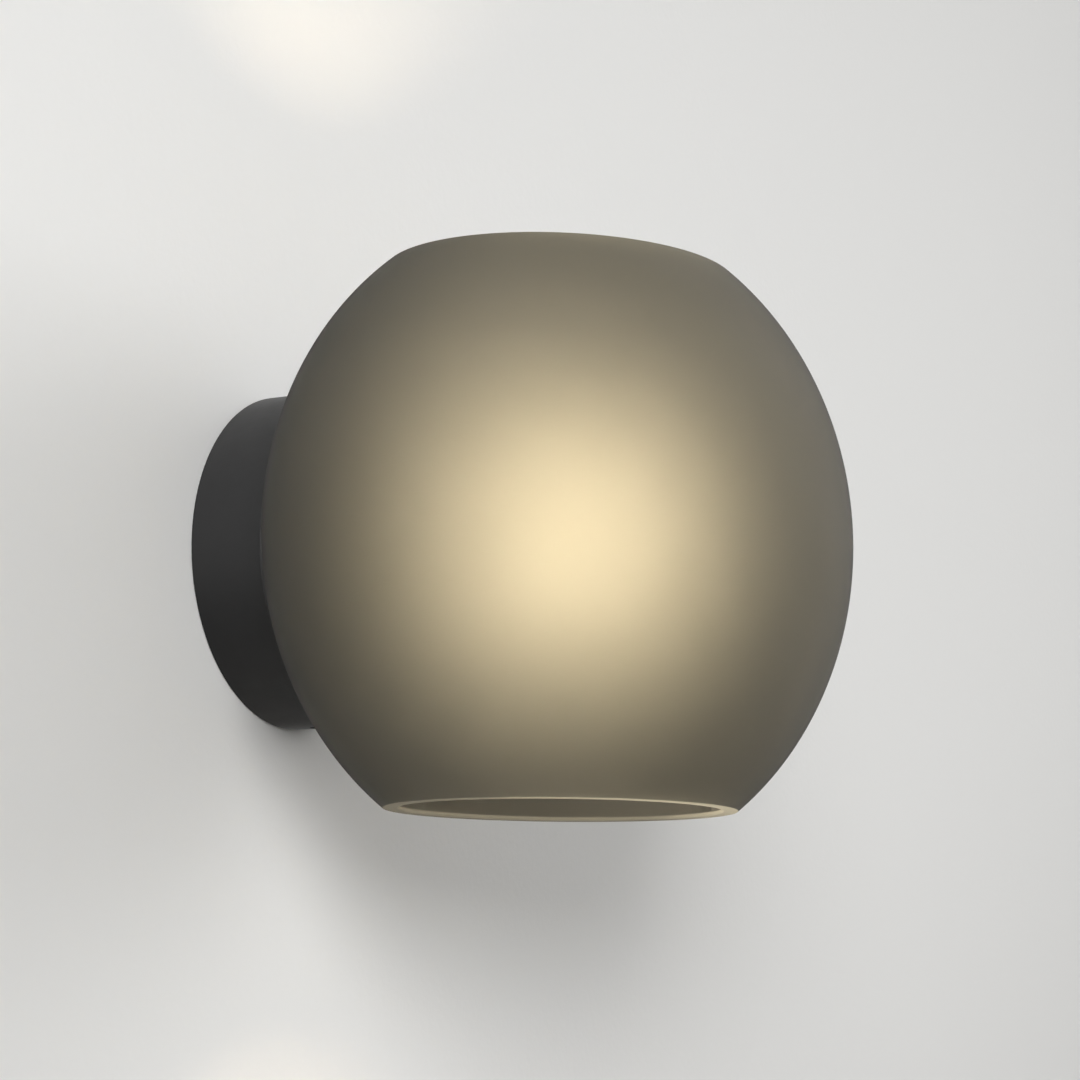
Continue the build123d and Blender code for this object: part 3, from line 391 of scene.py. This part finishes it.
    # The flat back is a slice of a ball that lies inside the wall.
    middle = add(tree, "ShaderNodeMath", {0: size["Wall"], 1: -0.5, 2: half},
                 operation="MULTIPLY_ADD").outputs[0]
    middle_deep = add(tree, "ShaderNodeMath", {0: size["Wall"], 1: -0.5, 2: deep},
                      operation="MULTIPLY_ADD").outputs[0]
    scale = add(tree, "ShaderNodeCombineXYZ", {"X": middle, "Y": middle_deep,
                                               "Z": middle}).outputs[0]
    middle_place = add(tree, "ShaderNodeCombineXYZ", {"Y": centre}).outputs[0]
    ball = add(tree, "GeometryNodeMeshUVSphere", {"Segments": SPIN_STEPS // 2,
                                                  "Rings": SPIN_STEPS // 4,
                                                  "Radius": 1.0}).outputs[0]
    core = add(tree, "GeometryNodeTransform", {"Geometry": ball, "Translation": middle_place,
                                               "Scale": scale}).outputs[0]
    block_size = add(tree, "ShaderNodeCombineXYZ", {"X": size["Width"], "Y": size["Thickness"],
                                                    "Z": size["Width"]}).outputs[0]
    block = add(tree, "GeometryNodeMeshCube", {"Size": block_size}).outputs[0]
    behind = add(tree, "ShaderNodeMath", {0: deep, 1: size["Seat"]},
                 operation="SUBTRACT").outputs[0]
    behind_place = add(tree, "ShaderNodeCombineXYZ", {"Y": behind}).outputs[0]
    waste = add(tree, "GeometryNodeTransform", {"Geometry": block,
                                                "Translation": behind_place}).outputs[0]
    inside = add(tree, "ShaderNodeMath", {0: behind, 1: size["Wall"]},
                 operation="SUBTRACT").outputs[0]
    inside_place = add(tree, "ShaderNodeCombineXYZ", {"Y": inside}).outputs[0]
    keep = add(tree, "GeometryNodeTransform", {"Geometry": block,
                                               "Translation": inside_place}).outputs[0]
    back = add(tree, "GeometryNodeMeshBoolean", {"Mesh 2": [core, keep]}, operation="INTERSECT",
               solver="EXACT").outputs[0]
    whole = add(tree, "GeometryNodeMeshBoolean", {"Mesh 2": [flattened, back]}, operation="UNION",
                solver="EXACT").outputs[0]
    seat_place = add(tree, "ShaderNodeMath", {0: size["Seat"], 1: -1.0},
                     operation="MULTIPLY").outputs[0]
    drill_place = add(tree, "ShaderNodeCombineXYZ", {"Y": seat_place}).outputs[0]
    rod = add(tree, "GeometryNodeMeshCylinder", {"Vertices": HOLE_STEPS,
                                                 "Radius": size["Hole radius"],
                                                 "Depth": size["Hole radius"]}).outputs[0]
    drill = add(tree, "GeometryNodeTransform", {"Geometry": rod, "Translation": drill_place,
                                                "Rotation": (math.pi / 2, 0.0, 0.0)}).outputs[0]
    globe = add(tree, "GeometryNodeMeshBoolean", {"Mesh 1": whole, "Mesh 2": [waste, drill]},
                operation="DIFFERENCE", solver="EXACT").outputs[0]
    close_tree(tree, globe, size["Material"])
    return tree


# ============================================================ materials

def satin_glass():
    """Smoked soda-lime glass, blown and satin-etched: it shows the lamp as a wide soft glow, topped
    up by a painted glow and painted rim highlights.
    """
    settings = bpy.context.scene.sconce_glass
    material, tree = new_material("smoked_satin_glass")
    place = add(tree, "ShaderNodeTexCoord").outputs["Object"]
    # The etched skin is even, with a faint cloudiness a few centimetres across.
    clouds = add(tree, "ShaderNodeTexNoise", {"Vector": place, "Scale": 1 / (40 * MM),
                                              "Detail": 2.0})
    rough = add(tree, "ShaderNodeMapRange", {
        "Value": clouds.outputs["Fac"], "From Min": 0.3, "From Max": 0.7,
        "To Min": settings.roughness - 0.02, "To Max": settings.roughness + 0.02})
    # The etch's own grain is about 0.05 mm; it is drawn at 0.5 mm, where it can show at all.
    etch = add(tree, "ShaderNodeTexNoise", {"Vector": place, "Scale": 1 / (0.5 * MM),
                                            "Detail": 2.0})
    bump = add(tree, "ShaderNodeBump", {"Height": etch.outputs["Fac"], "Strength": 0.3,
                                        "Distance": 0.01 * MM})
    # Light that crosses the wall at a slant has more smoked glass to pass.
    slant = add(tree, "ShaderNodeLayerWeight", {"Blend": 0.5}).outputs["Facing"]
    curve = add(tree, "ShaderNodeMath", {0: slant, 1: SLANT_POWER}, operation="POWER")
    tint = add(tree, "ShaderNodeMix", {"Factor": curve.outputs[0], "A": (*settings.colour, 1.0),
                                       "B": (*settings.edge_colour, 1.0)}, data_type="RGBA")
    # Painted glow: an emission that stands in for the lamp's light scattered in the glass. It is
    # painted strongest high up, as if the room lit it through the upper mouth, and fades as painted
    # shade towards the seat, as if the holder shaded it, and at a slant.
    parts = add(tree, "ShaderNodeSeparateXYZ", {"Vector": place})
    height = add(tree, "ShaderNodeMapRange", {
        "Value": parts.outputs["Z"], "From Min": glass_low[2], "From Max": glass_high[2] / 2,
        "To Min": LOW_GLOW, "To Max": 1.0})
    depth = add(tree, "ShaderNodeMapRange", {
        "Value": parts.outputs["Y"], "From Min": glass_high[1], "From Max": lamp_low[1],
        "To Min": 0.0, "To Max": 1.0})
    painted_glow_lift = add(tree, "ShaderNodeMath", {0: height.outputs["Result"], 1: depth.outputs["Result"]},
               operation="MULTIPLY")
    square = add(tree, "ShaderNodeMath", {0: slant, 1: -1.0, 2: 1.0}, operation="MULTIPLY_ADD")
    painted_glow_fade = add(tree, "ShaderNodeMath", {0: square.outputs[0], 1: painted_glow_lift.outputs[0]},
                operation="MULTIPLY")
    glow_share = settings.glow / settings.rim_glow
    glow = add(tree, "ShaderNodeMix", {
        "Factor": painted_glow_fade.outputs[0], "A": (0.0, 0.0, 0.0, 1.0),
        "B": (*(part * glow_share for part in settings.glow_colour), 1.0)}, data_type="RGBA")
    # Painted highlights on the ground rims, most of all at their inner edges, where light that runs
    # along inside the wall would come out. Distances from the globe's axis are taken with its
    # flattening undone, so that each mouth is a circle.
    rise = settings.height / 2
    mouth = math.sqrt((settings.width / 2 - settings.wall) ** 2 - rise ** 2)
    stretch = settings.width / settings.thickness
    middle = settings.thickness / 2 - settings.front
    rounded = add(tree, "ShaderNodeVectorMath", {
        0: place, 1: (1.0, stretch, 0.0), 2: (0.0, -middle * stretch, 0.0)},
                  operation="MULTIPLY_ADD")
    radius = add(tree, "ShaderNodeVectorMath", {0: rounded.outputs["Vector"]}, operation="LENGTH")
    level = add(tree, "ShaderNodeMath", {0: parts.outputs["Z"]}, operation="ABSOLUTE")
    face = add(tree, "ShaderNodeMapRange", {"Value": level.outputs[0], "From Min": rise - 0.3 * MM,
                                            "From Max": rise - 0.05 * MM, "To Max": RIM_FACE})
    zone = add(tree, "ShaderNodeMapRange", {"Value": level.outputs[0], "From Min": rise - 1.8 * MM,
                                            "From Max": rise - 1.4 * MM})
    edge = add(tree, "ShaderNodeMapRange", {"Value": radius.outputs["Value"],
                                            "From Min": mouth + 2.4 * MM,
                                            "From Max": mouth + 1.6 * MM})
    line = add(tree, "ShaderNodeMath", {0: zone.outputs["Result"], 1: edge.outputs["Result"]},
               operation="MULTIPLY")
    rim = add(tree, "ShaderNodeMath", {0: face.outputs["Result"], 1: line.outputs[0]},
              operation="MAXIMUM")
    # Painted shade on the back half of each rim: the front is painted the brightest, as if the
    # holder shaded the back.
    painted_back_shade = add(tree, "ShaderNodeMapRange", {
        "Value": parts.outputs["Y"], "From Min": middle, "From Max": middle - mouth / stretch,
        "To Min": RIM_BACK, "To Max": 1.0})
    spread = add(tree, "ShaderNodeMath", {0: rim.outputs[0], 1: painted_back_shade.outputs["Result"]},
                 operation="MULTIPLY")
    # The painted rim highlights are laid over the painted glow, and both go out as the glass's
    # emission.
    light = add(tree, "ShaderNodeMix", {"Factor": spread.outputs[0], "A": glow.outputs[2],
                                        "B": (*settings.glow_colour, 1.0)}, data_type="RGBA")
    skin = add(tree, "ShaderNodeBsdfPrincipled", {
        "Base Color": tint.outputs[2], "Roughness": rough.outputs["Result"],
        "IOR": settings.refraction, "Transmission Weight": 1.0, "Normal": bump.outputs["Normal"],
        "Emission Color": light.outputs[2], "Emission Strength": settings.rim_glow})
    add(tree, "ShaderNodeOutputMaterial", {"Surface": skin.outputs["BSDF"]})
    return material


def lit_opal():
    """Opal polycarbonate lit from inside: an even warm white."""
    settings = bpy.context.scene.sconce_lamp
    material, tree = new_material("opal_polycarbonate")
    place = add(tree, "ShaderNodeTexCoord").outputs["Object"]
    clouds = add(tree, "ShaderNodeTexNoise", {"Vector": place, "Scale": 1 / (9 * MM),
                                              "Detail": 2.0})
    tones = add(tree, "ShaderNodeMix", {"Factor": clouds.outputs["Fac"], "A": linear("#f4ead2"),
                                        "B": linear("#faf3e2")}, data_type="RGBA")
    skin = add(tree, "ShaderNodeBsdfPrincipled", {
        "Base Color": tones.outputs[2], "Roughness": 0.45, "IOR": 1.58,
        "Emission Color": (*settings.colour, 1.0), "Emission Strength": settings.brightness})
    add(tree, "ShaderNodeOutputMaterial", {"Surface": skin.outputs["BSDF"]})
    return material


def powder_coat():
    """Charcoal powder coat on spun steel: matte, with a fine orange peel."""
    return surface("black_powder_coat", "#19191a", "#151516", 0.50, spread=0.04, patch=14.0,
                   grain=0.7, depth=0.03)


def zinc_plate():
    """Bright zinc on steel: bluish silver with dull patches."""
    return surface("zinc_plated_steel", "#b4b7b9", "#8f918d", 0.40, metallic=1.0, patch=5.0,
                   grain=0.3, depth=0.004)


def brass():
    """Turned brass: warm yellow with fine tool rings."""
    return surface("brass", "#d9b563", "#b98f45", 0.30, metallic=1.0, patch=4.0, grain=0.15,
                   depth=0.004, turned=True)


def nickelled_brass():
    """Nickel on rolled brass: a warm silver with rings from rolling."""
    return surface("nickelled_brass", "#cfcabd", "#aaa596", 0.26, metallic=1.0, patch=5.0,
                   grain=0.2, depth=0.004, turned=True)


def blackened_steel():
    """Black oxide on steel: dark and slightly oily."""
    return surface("blackened_steel", "#303032", "#1e1e20", 0.38, metallic=0.8, patch=2.0,
                   grain=0.2, depth=0.003)


def anodised():
    """Black anodised aluminium: satin, with fine turning rings."""
    return surface("black_anodised_aluminium", "#2a2a2d", "#202022", 0.42, metallic=0.6, patch=8.0,
                   grain=0.15, depth=0.005, turned=True)


def die_cast():
    """Bare die-cast aluminium: pale grey with a soft cast grain."""
    return surface("aluminium", "#bfc1c2", "#9d9fa0", 0.45, metallic=1.0, patch=3.0, grain=0.3,
                   depth=0.01)


def phosphor_bronze():
    """Rolled phosphor bronze strip: a reddish gold."""
    return surface("phosphor_bronze", "#c48a55", "#9a6a3f", 0.32, metallic=1.0, patch=3.0,
                   grain=0.15, depth=0.003)


def tinned_copper():
    """Tinned copper: a soft grey-white metal."""
    return surface("tinned_copper", "#cfccc4", "#a8a49a", 0.36, metallic=1.0, patch=2.0, grain=0.2,
                   depth=0.004)


def solder():
    """Solder: bright where it flowed and dull where it cooled."""
    return surface("solder", "#c6c7c6", "#8f908f", 0.30, spread=0.14, metallic=1.0, patch=1.5,
                   grain=0.5, depth=0.02)


def black_rubber():
    """Moulded black rubber, with a dusty bloom."""
    return surface("black_rubber", "#2e2e2d", "#212121", 0.72, patch=3.0, grain=0.2, depth=0.01,
                   IOR=1.52)


def black_foam():
    """Closed-cell foam: dull black with cells half a millimetre wide."""
    return surface("black_foam", "#343433", "#202020", 0.92, patch=2.0, grain=0.5, depth=0.12,
                   IOR=1.45)


def grey_silicone():
    """Translucent grey silicone: soft and slightly waxy."""
    return surface("grey_silicone", "#76746e", "#66645f", 0.48, patch=7.0, grain=0.5, depth=0.01,
                   IOR=1.41)


def black_phenolic():
    """Pressed phenolic: deep black with a soft gloss and faint flow marks."""
    return surface("black_phenolic", "#242322", "#191918", 0.32, patch=8.0, grain=1.2, depth=0.01,
                   IOR=1.6)


def steatite():
    """Glazed steatite: creamy white and glossy, over a fine grain."""
    return surface("ceramic", "#ece8dc", "#ddd7c7", 0.20, patch=4.0, grain=0.6, depth=0.015,
                   IOR=1.6, **{"Coat Weight": 0.5, "Coat Roughness": 0.06})


def white_nylon():
    """Moulded nylon: off-white with a slightly waxy skin."""
    return surface("white_nylon", "#e9e6db", "#dbd7ca", 0.42, patch=5.0, grain=0.3, depth=0.008,
                   IOR=1.53)


def white_polycarbonate():
    """Satin white polycarbonate moulding."""
    return surface("white_polycarbonate", "#efede8", "#e4e1da", 0.36, patch=7.0, grain=0.3,
                   depth=0.006, IOR=1.58)


def black_glass():
    """Pressed black glass: glossy, with a wavy skin."""
    return surface("black_glass", "#1b1a1e", "#121214", 0.12, spread=0.04, patch=4.0, grain=2.0,
                   depth=0.03, IOR=1.5)


def white_solder_mask():
    """White solder mask on aluminium core board."""
    return surface("white_circuit_board", "#e8e8e3", "#dadad4", 0.40, patch=6.0, grain=0.4,
                   depth=0.006, IOR=1.55)


def insulation(name, colour, shade):
    """Extruded wire insulation: smooth and slightly glossy."""
    return surface(name, colour, shade, 0.38, patch=4.0, grain=0.5, depth=0.005, IOR=1.53)


# ============================================================ the operators

class SconceOperator:
    """What the operators share."""

    bl_options = {"REGISTER", "UNDO"}


class SCONCE_OT_stage(SconceOperator, bpy.types.Operator):
    """Sets the camera, the plaster wall, the floor and the studio light"""

    bl_idname = "sconce.stage"
    bl_label = "Stage"

    def execute(self, context):
        settings = context.scene.sconce_stage
        context.scene.view_settings.view_transform = "Standard"
        self.camera(context)
        self.wall(settings)
        self.floor(settings)
        self.lights(context, settings)
        return {"FINISHED"}

    def camera(self, context):
        """The viewpoint of the photograph: from the left, a little below the lamp."""
        lens = bpy.data.cameras.new("camera")
        lens.lens = CAMERA_LENS
        lens.sensor_width = CAMERA_SENSOR
        lens.clip_start = 20 * MM
        camera = bpy.data.objects.new("camera", lens)
        camera.location = CAMERA_PLACE
        camera.rotation_euler = (math.pi / 2 + CAMERA_TILT, 0.0, CAMERA_TURN)
        context.scene.collection.objects.link(camera)
        context.scene.camera = camera

    def sheet(self, name, corners, material):
        """A flat four-cornered piece of the stage."""
        mesh = bpy.data.meshes.new(name)
        mesh.from_pydata(corners, [], [(0, 1, 2, 3)])
        mesh.materials.append(material)
        piece = bpy.data.objects.new(name, mesh)
        bpy.context.scene.collection.objects.link(piece)

    def wall(self, settings):
        """Plaster that faces the room. From behind it, and from right next to it, it is clear."""
        material, tree = new_material("plaster")
        place = add(tree, "ShaderNodeTexCoord").outputs["Object"]
        # Roller paint over trowelled plaster: broad waves, and a stipple a few millimetres apart.
        trowel = add(tree, "ShaderNodeTexNoise", {"Vector": place, "Scale": 1 / (60 * MM),
                                                  "Detail": 3.0})
        waves = add(tree, "ShaderNodeBump", {"Height": trowel.outputs["Fac"], "Strength": 0.5,
                                             "Distance": 0.4 * MM})
        stipple = add(tree, "ShaderNodeTexNoise", {"Vector": place, "Scale": 1 / (3.5 * MM),
                                                   "Detail": 3.0, "Roughness": 0.6})
        bump = add(tree, "ShaderNodeBump", {"Height": stipple.outputs["Fac"], "Strength": 0.8,
                                            "Distance": 0.12 * MM,
                                            "Normal": waves.outputs["Normal"]})
        paint = add(tree, "ShaderNodeBsdfPrincipled", {
            "Base Color": (*settings.wall_colour, 1.0), "Roughness": 0.9,
            "Normal": bump.outputs["Normal"]})
        clear = add(tree, "ShaderNodeBsdfTransparent")
        behind = add(tree, "ShaderNodeNewGeometry").outputs["Backfacing"]
        ray = add(tree, "ShaderNodeLightPath")
        near = add(tree, "ShaderNodeMath", {0: ray.outputs["Ray Length"], 1: CANOPY_REACH},
                   operation="LESS_THAN")
        away = add(tree, "ShaderNodeMath", {0: 1.0, 1: ray.outputs["Is Camera Ray"]},
                   operation="SUBTRACT")
        beside = add(tree, "ShaderNodeMath", {0: near.outputs[0], 1: away.outputs[0]},
                     operation="MULTIPLY")
        open_here = add(tree, "ShaderNodeMath", {0: behind, 1: beside.outputs[0]},
                        operation="MAXIMUM")
        mix = add(tree, "ShaderNodeMixShader", {0: open_here.outputs[0], 1: paint.outputs[0],
                                                2: clear.outputs[0]})
        add(tree, "ShaderNodeOutputMaterial", {"Surface": mix.outputs[0]})
        half, low = settings.wall_size / 2, -settings.floor_drop
        high = low + settings.wall_size
        self.sheet("wall", [(-half, WALL_GAP, low), (half, WALL_GAP, low), (half, WALL_GAP, high),
                            (-half, WALL_GAP, high)], material)

    def floor(self, settings):
        """A plain pale floor, well below the lamp, with a little light of its own for the camera."""
        material, tree = new_material("pale_floor")
        place = add(tree, "ShaderNodeTexCoord").outputs["Object"]
        clouds = add(tree, "ShaderNodeTexNoise", {"Vector": place, "Scale": 1 / (90 * MM),
                                                  "Detail": 4.0})
        tones = add(tree, "ShaderNodeMix", {"Factor": clouds.outputs["Fac"], "A": linear("#d8d5d0"),
                                            "B": linear("#dedcd8")}, data_type="RGBA")
        ray = add(tree, "ShaderNodeLightPath")
        lit = add(tree, "ShaderNodeMath", {0: ray.outputs["Is Camera Ray"], 1: FLOOR_GLOW},
                  operation="MULTIPLY")
        paint = add(tree, "ShaderNodeBsdfPrincipled", {
            "Base Color": tones.outputs[2], "Roughness": 0.7, "Emission Color": tones.outputs[2],
            "Emission Strength": lit.outputs[0]})
        add(tree, "ShaderNodeOutputMaterial", {"Surface": paint.outputs["BSDF"]})
        half, low = settings.wall_size / 2, -settings.floor_drop
        self.sheet("floor", [(-half, -half, low), (half, -half, low), (half, half, low),
                             (-half, half, low)], material)

    def lights(self, context, settings):
        """A soft room, a large key light on the left, and a weaker one on the right."""
        world = bpy.data.worlds.new("room")
        world.use_nodes = True
        tree = world.node_tree
        tree.nodes.clear()
        ray = add(tree, "ShaderNodeLightPath")
        glossy = add(tree, "ShaderNodeMath", {0: ray.outputs["Is Camera Ray"],
                                              1: ray.outputs["Is Glossy Ray"]}, operation="MAXIMUM")
        seen = add(tree, "ShaderNodeMath", {0: glossy.outputs[0],
                                            1: ray.outputs["Is Transmission Ray"]},
                   operation="MAXIMUM")
        strength = add(tree, "ShaderNodeMapRange", {"Value": seen.outputs[0],
                                                    "To Min": settings.sky, "To Max": ROOM_SEEN})
        sky = add(tree, "ShaderNodeBackground", {"Color": linear("#fbfaf8"),
                                                 "Strength": strength.outputs["Result"]})
        add(tree, "ShaderNodeOutputWorld", {"Surface": sky.outputs[0]})
        context.scene.world = world
        self.soft_light(context, "key_light", KEY_PLACE, KEY_SIZE, settings.key_power)
        self.soft_light(context, "fill_light", FILL_PLACE, FILL_SIZE, settings.fill_power)

    def soft_light(self, context, name, place, size, power):
        """A square soft light that faces the lamp."""
        light = bpy.data.lights.new(name, "AREA")
        light.size = size
        light.spread = LIGHT_SPREAD
        light.energy = power
        lamp = bpy.data.objects.new(name, light)
        lamp.location = place
        aim = (lamp_low + lamp_high) / 2 - lamp.location
        lamp.rotation_euler = aim.to_track_quat("-Z", "Y").to_euler()
        context.scene.collection.objects.link(lamp)


class SCONCE_OT_glass(SconceOperator, bpy.types.Operator):
    """Blows the globe: a flattened ball of smoked satin glass, cut level at the top and bottom"""

    bl_idname = "sconce.glass"
    bl_label = "Glass globe"

    def execute(self, context):
        settings = context.scene.sconce_glass
        material = satin_glass()
        give(material, "glass_shade")
        globe = grow("glass_globe", globe_tree(), {
            "Width": settings.width, "Thickness": settings.thickness, "Height": settings.height,
            "Front": settings.front, "Seat": settings.seat, "Wall": settings.wall,
            "Hole radius": settings.hole_radius, "Top rim": settings.top_rim,
            "Bottom rim": settings.bottom_rim, "Inner rim": settings.inner_rim,
            "Material": material})
        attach(globe, "shade")
        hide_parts("glass_shade")
        return {"FINISHED"}


class SCONCE_OT_lamp(SconceOperator, bpy.types.Operator):
    """Dresses and lights the lamp"""

    bl_idname = "sconce.lamp"
    bl_label = "Lamp"

    def execute(self, context):
        give(lit_opal(), "bulb_globe")
        give(white_polycarbonate(), "bulb_housing")
        give(nickelled_brass(), "bulb_cap")
        give(black_glass(), "bulb_insulator")
        give(solder(), "bulb_contact")
        give(die_cast(), "heat_sink")
        give(white_solder_mask(), "led_board")
        give(surface("led_phosphor", "#f3d55a", "#e6bf3c", 0.45, patch=1.5, grain=0.3, depth=0.01),
             "led_chips")
        give(surface("green_circuit_board", "#1d6b3a", "#14552d", 0.35, patch=2.5, grain=0.4,
                     depth=0.01), "driver_board")
        give(surface("driver_plastic", "#2d2f36", "#1d1e23", 0.35, patch=3.0, grain=0.3,
                     depth=0.01), "driver_components")
        give(tinned_copper(), "driver_wires")
        return {"FINISHED"}


class SCONCE_OT_canopy(SconceOperator, bpy.types.Operator):
    """Dresses the canopy, its foam and its set screws"""

    bl_idname = "sconce.canopy"
    bl_label = "Canopy"

    def execute(self, context):
        give(powder_coat(), "canopy")
        give(black_foam(), "wall_foam")
        give(blackened_steel(), "top_set_screw", "bottom_set_screw")
        return {"FINISHED"}


class SCONCE_OT_fittings(SconceOperator, bpy.types.Operator):
    """Dresses the bracket, the rings, the lampholder and the wiring"""

    bl_idname = "sconce.fittings"
    bl_label = "Bracket, holder and wiring"

    def execute(self, context):
        give(zinc_plate(), "wall_bracket", "rim_bosses", "lock_nut", "tooth_washer",
             "terminal_screws", "block_screws", "holder_terminal_screws")
        give(brass(), "bracket_earth_screw", "bracket_earth_washer", "nipple", "terminal_poles",
             "earth_stud", "earth_washer", "earth_nut", "screw_shell", "contact_rivets",
             "holder_terminals")
        give(black_rubber(), "cable_grommet")
        give(white_nylon(), "nipple_bush", "terminal_block")
        give(tinned_copper(), "earth_lug")
        give(phosphor_bronze(), "contact_tongue")
        give(steatite(), "holder_core")
        give(black_phenolic(), "holder_cap", "holder_skirt")
        give(anodised(), "glass_carrier", "clamp_ring")
        give(grey_silicone(), "back_ring", "front_ring")
        give(insulation("brown_insulation", "#6b4226", "#59351d"), "live_lead")
        give(insulation("blue_insulation", "#2c62a8", "#235292"), "neutral_lead")
        give(insulation("earth_insulation", "#6aa32c", "#588d22"), "earth_lead")
        return {"FINISHED"}


class SCONCE_PT_panel(bpy.types.Panel):
    """Lists the steps and their sizes and colours"""

    bl_label = "Globe wall sconce"
    bl_space_type = "VIEW_3D"
    bl_region_type = "UI"
    bl_category = "Sconce"

    def draw(self, context):
        scene = context.scene
        for settings, operator in ((scene.sconce_stage, SCONCE_OT_stage),
                                   (scene.sconce_glass, SCONCE_OT_glass),
                                   (scene.sconce_lamp, SCONCE_OT_lamp)):
            box = self.layout.box()
            for name in settings.__annotations__:
                box.prop(settings, name)
            box.operator(operator.bl_idname)
        self.layout.operator(SCONCE_OT_canopy.bl_idname)
        self.layout.operator(SCONCE_OT_fittings.bl_idname)


CLASSES = (SconceGlass, SconceLamp, SconceStage, SCONCE_OT_stage, SCONCE_OT_glass, SCONCE_OT_lamp,
           SCONCE_OT_canopy, SCONCE_OT_fittings, SCONCE_PT_panel)


def register():
    for part in CLASSES:
        bpy.utils.register_class(part)
    bpy.types.Scene.sconce_glass = bpy.props.PointerProperty(type=SconceGlass)
    bpy.types.Scene.sconce_lamp = bpy.props.PointerProperty(type=SconceLamp)
    bpy.types.Scene.sconce_stage = bpy.props.PointerProperty(type=SconceStage)


def unregister():
    del bpy.types.Scene.sconce_stage
    del bpy.types.Scene.sconce_lamp
    del bpy.types.Scene.sconce_glass
    for part in reversed(CLASSES):
        bpy.utils.unregister_class(part)


def main():
    register()
    bpy.ops.sconce.stage()
    bpy.ops.sconce.glass()
    bpy.ops.sconce.lamp()
    bpy.ops.sconce.canopy()
    bpy.ops.sconce.fittings()


if __name__ == "__main__":
    main()
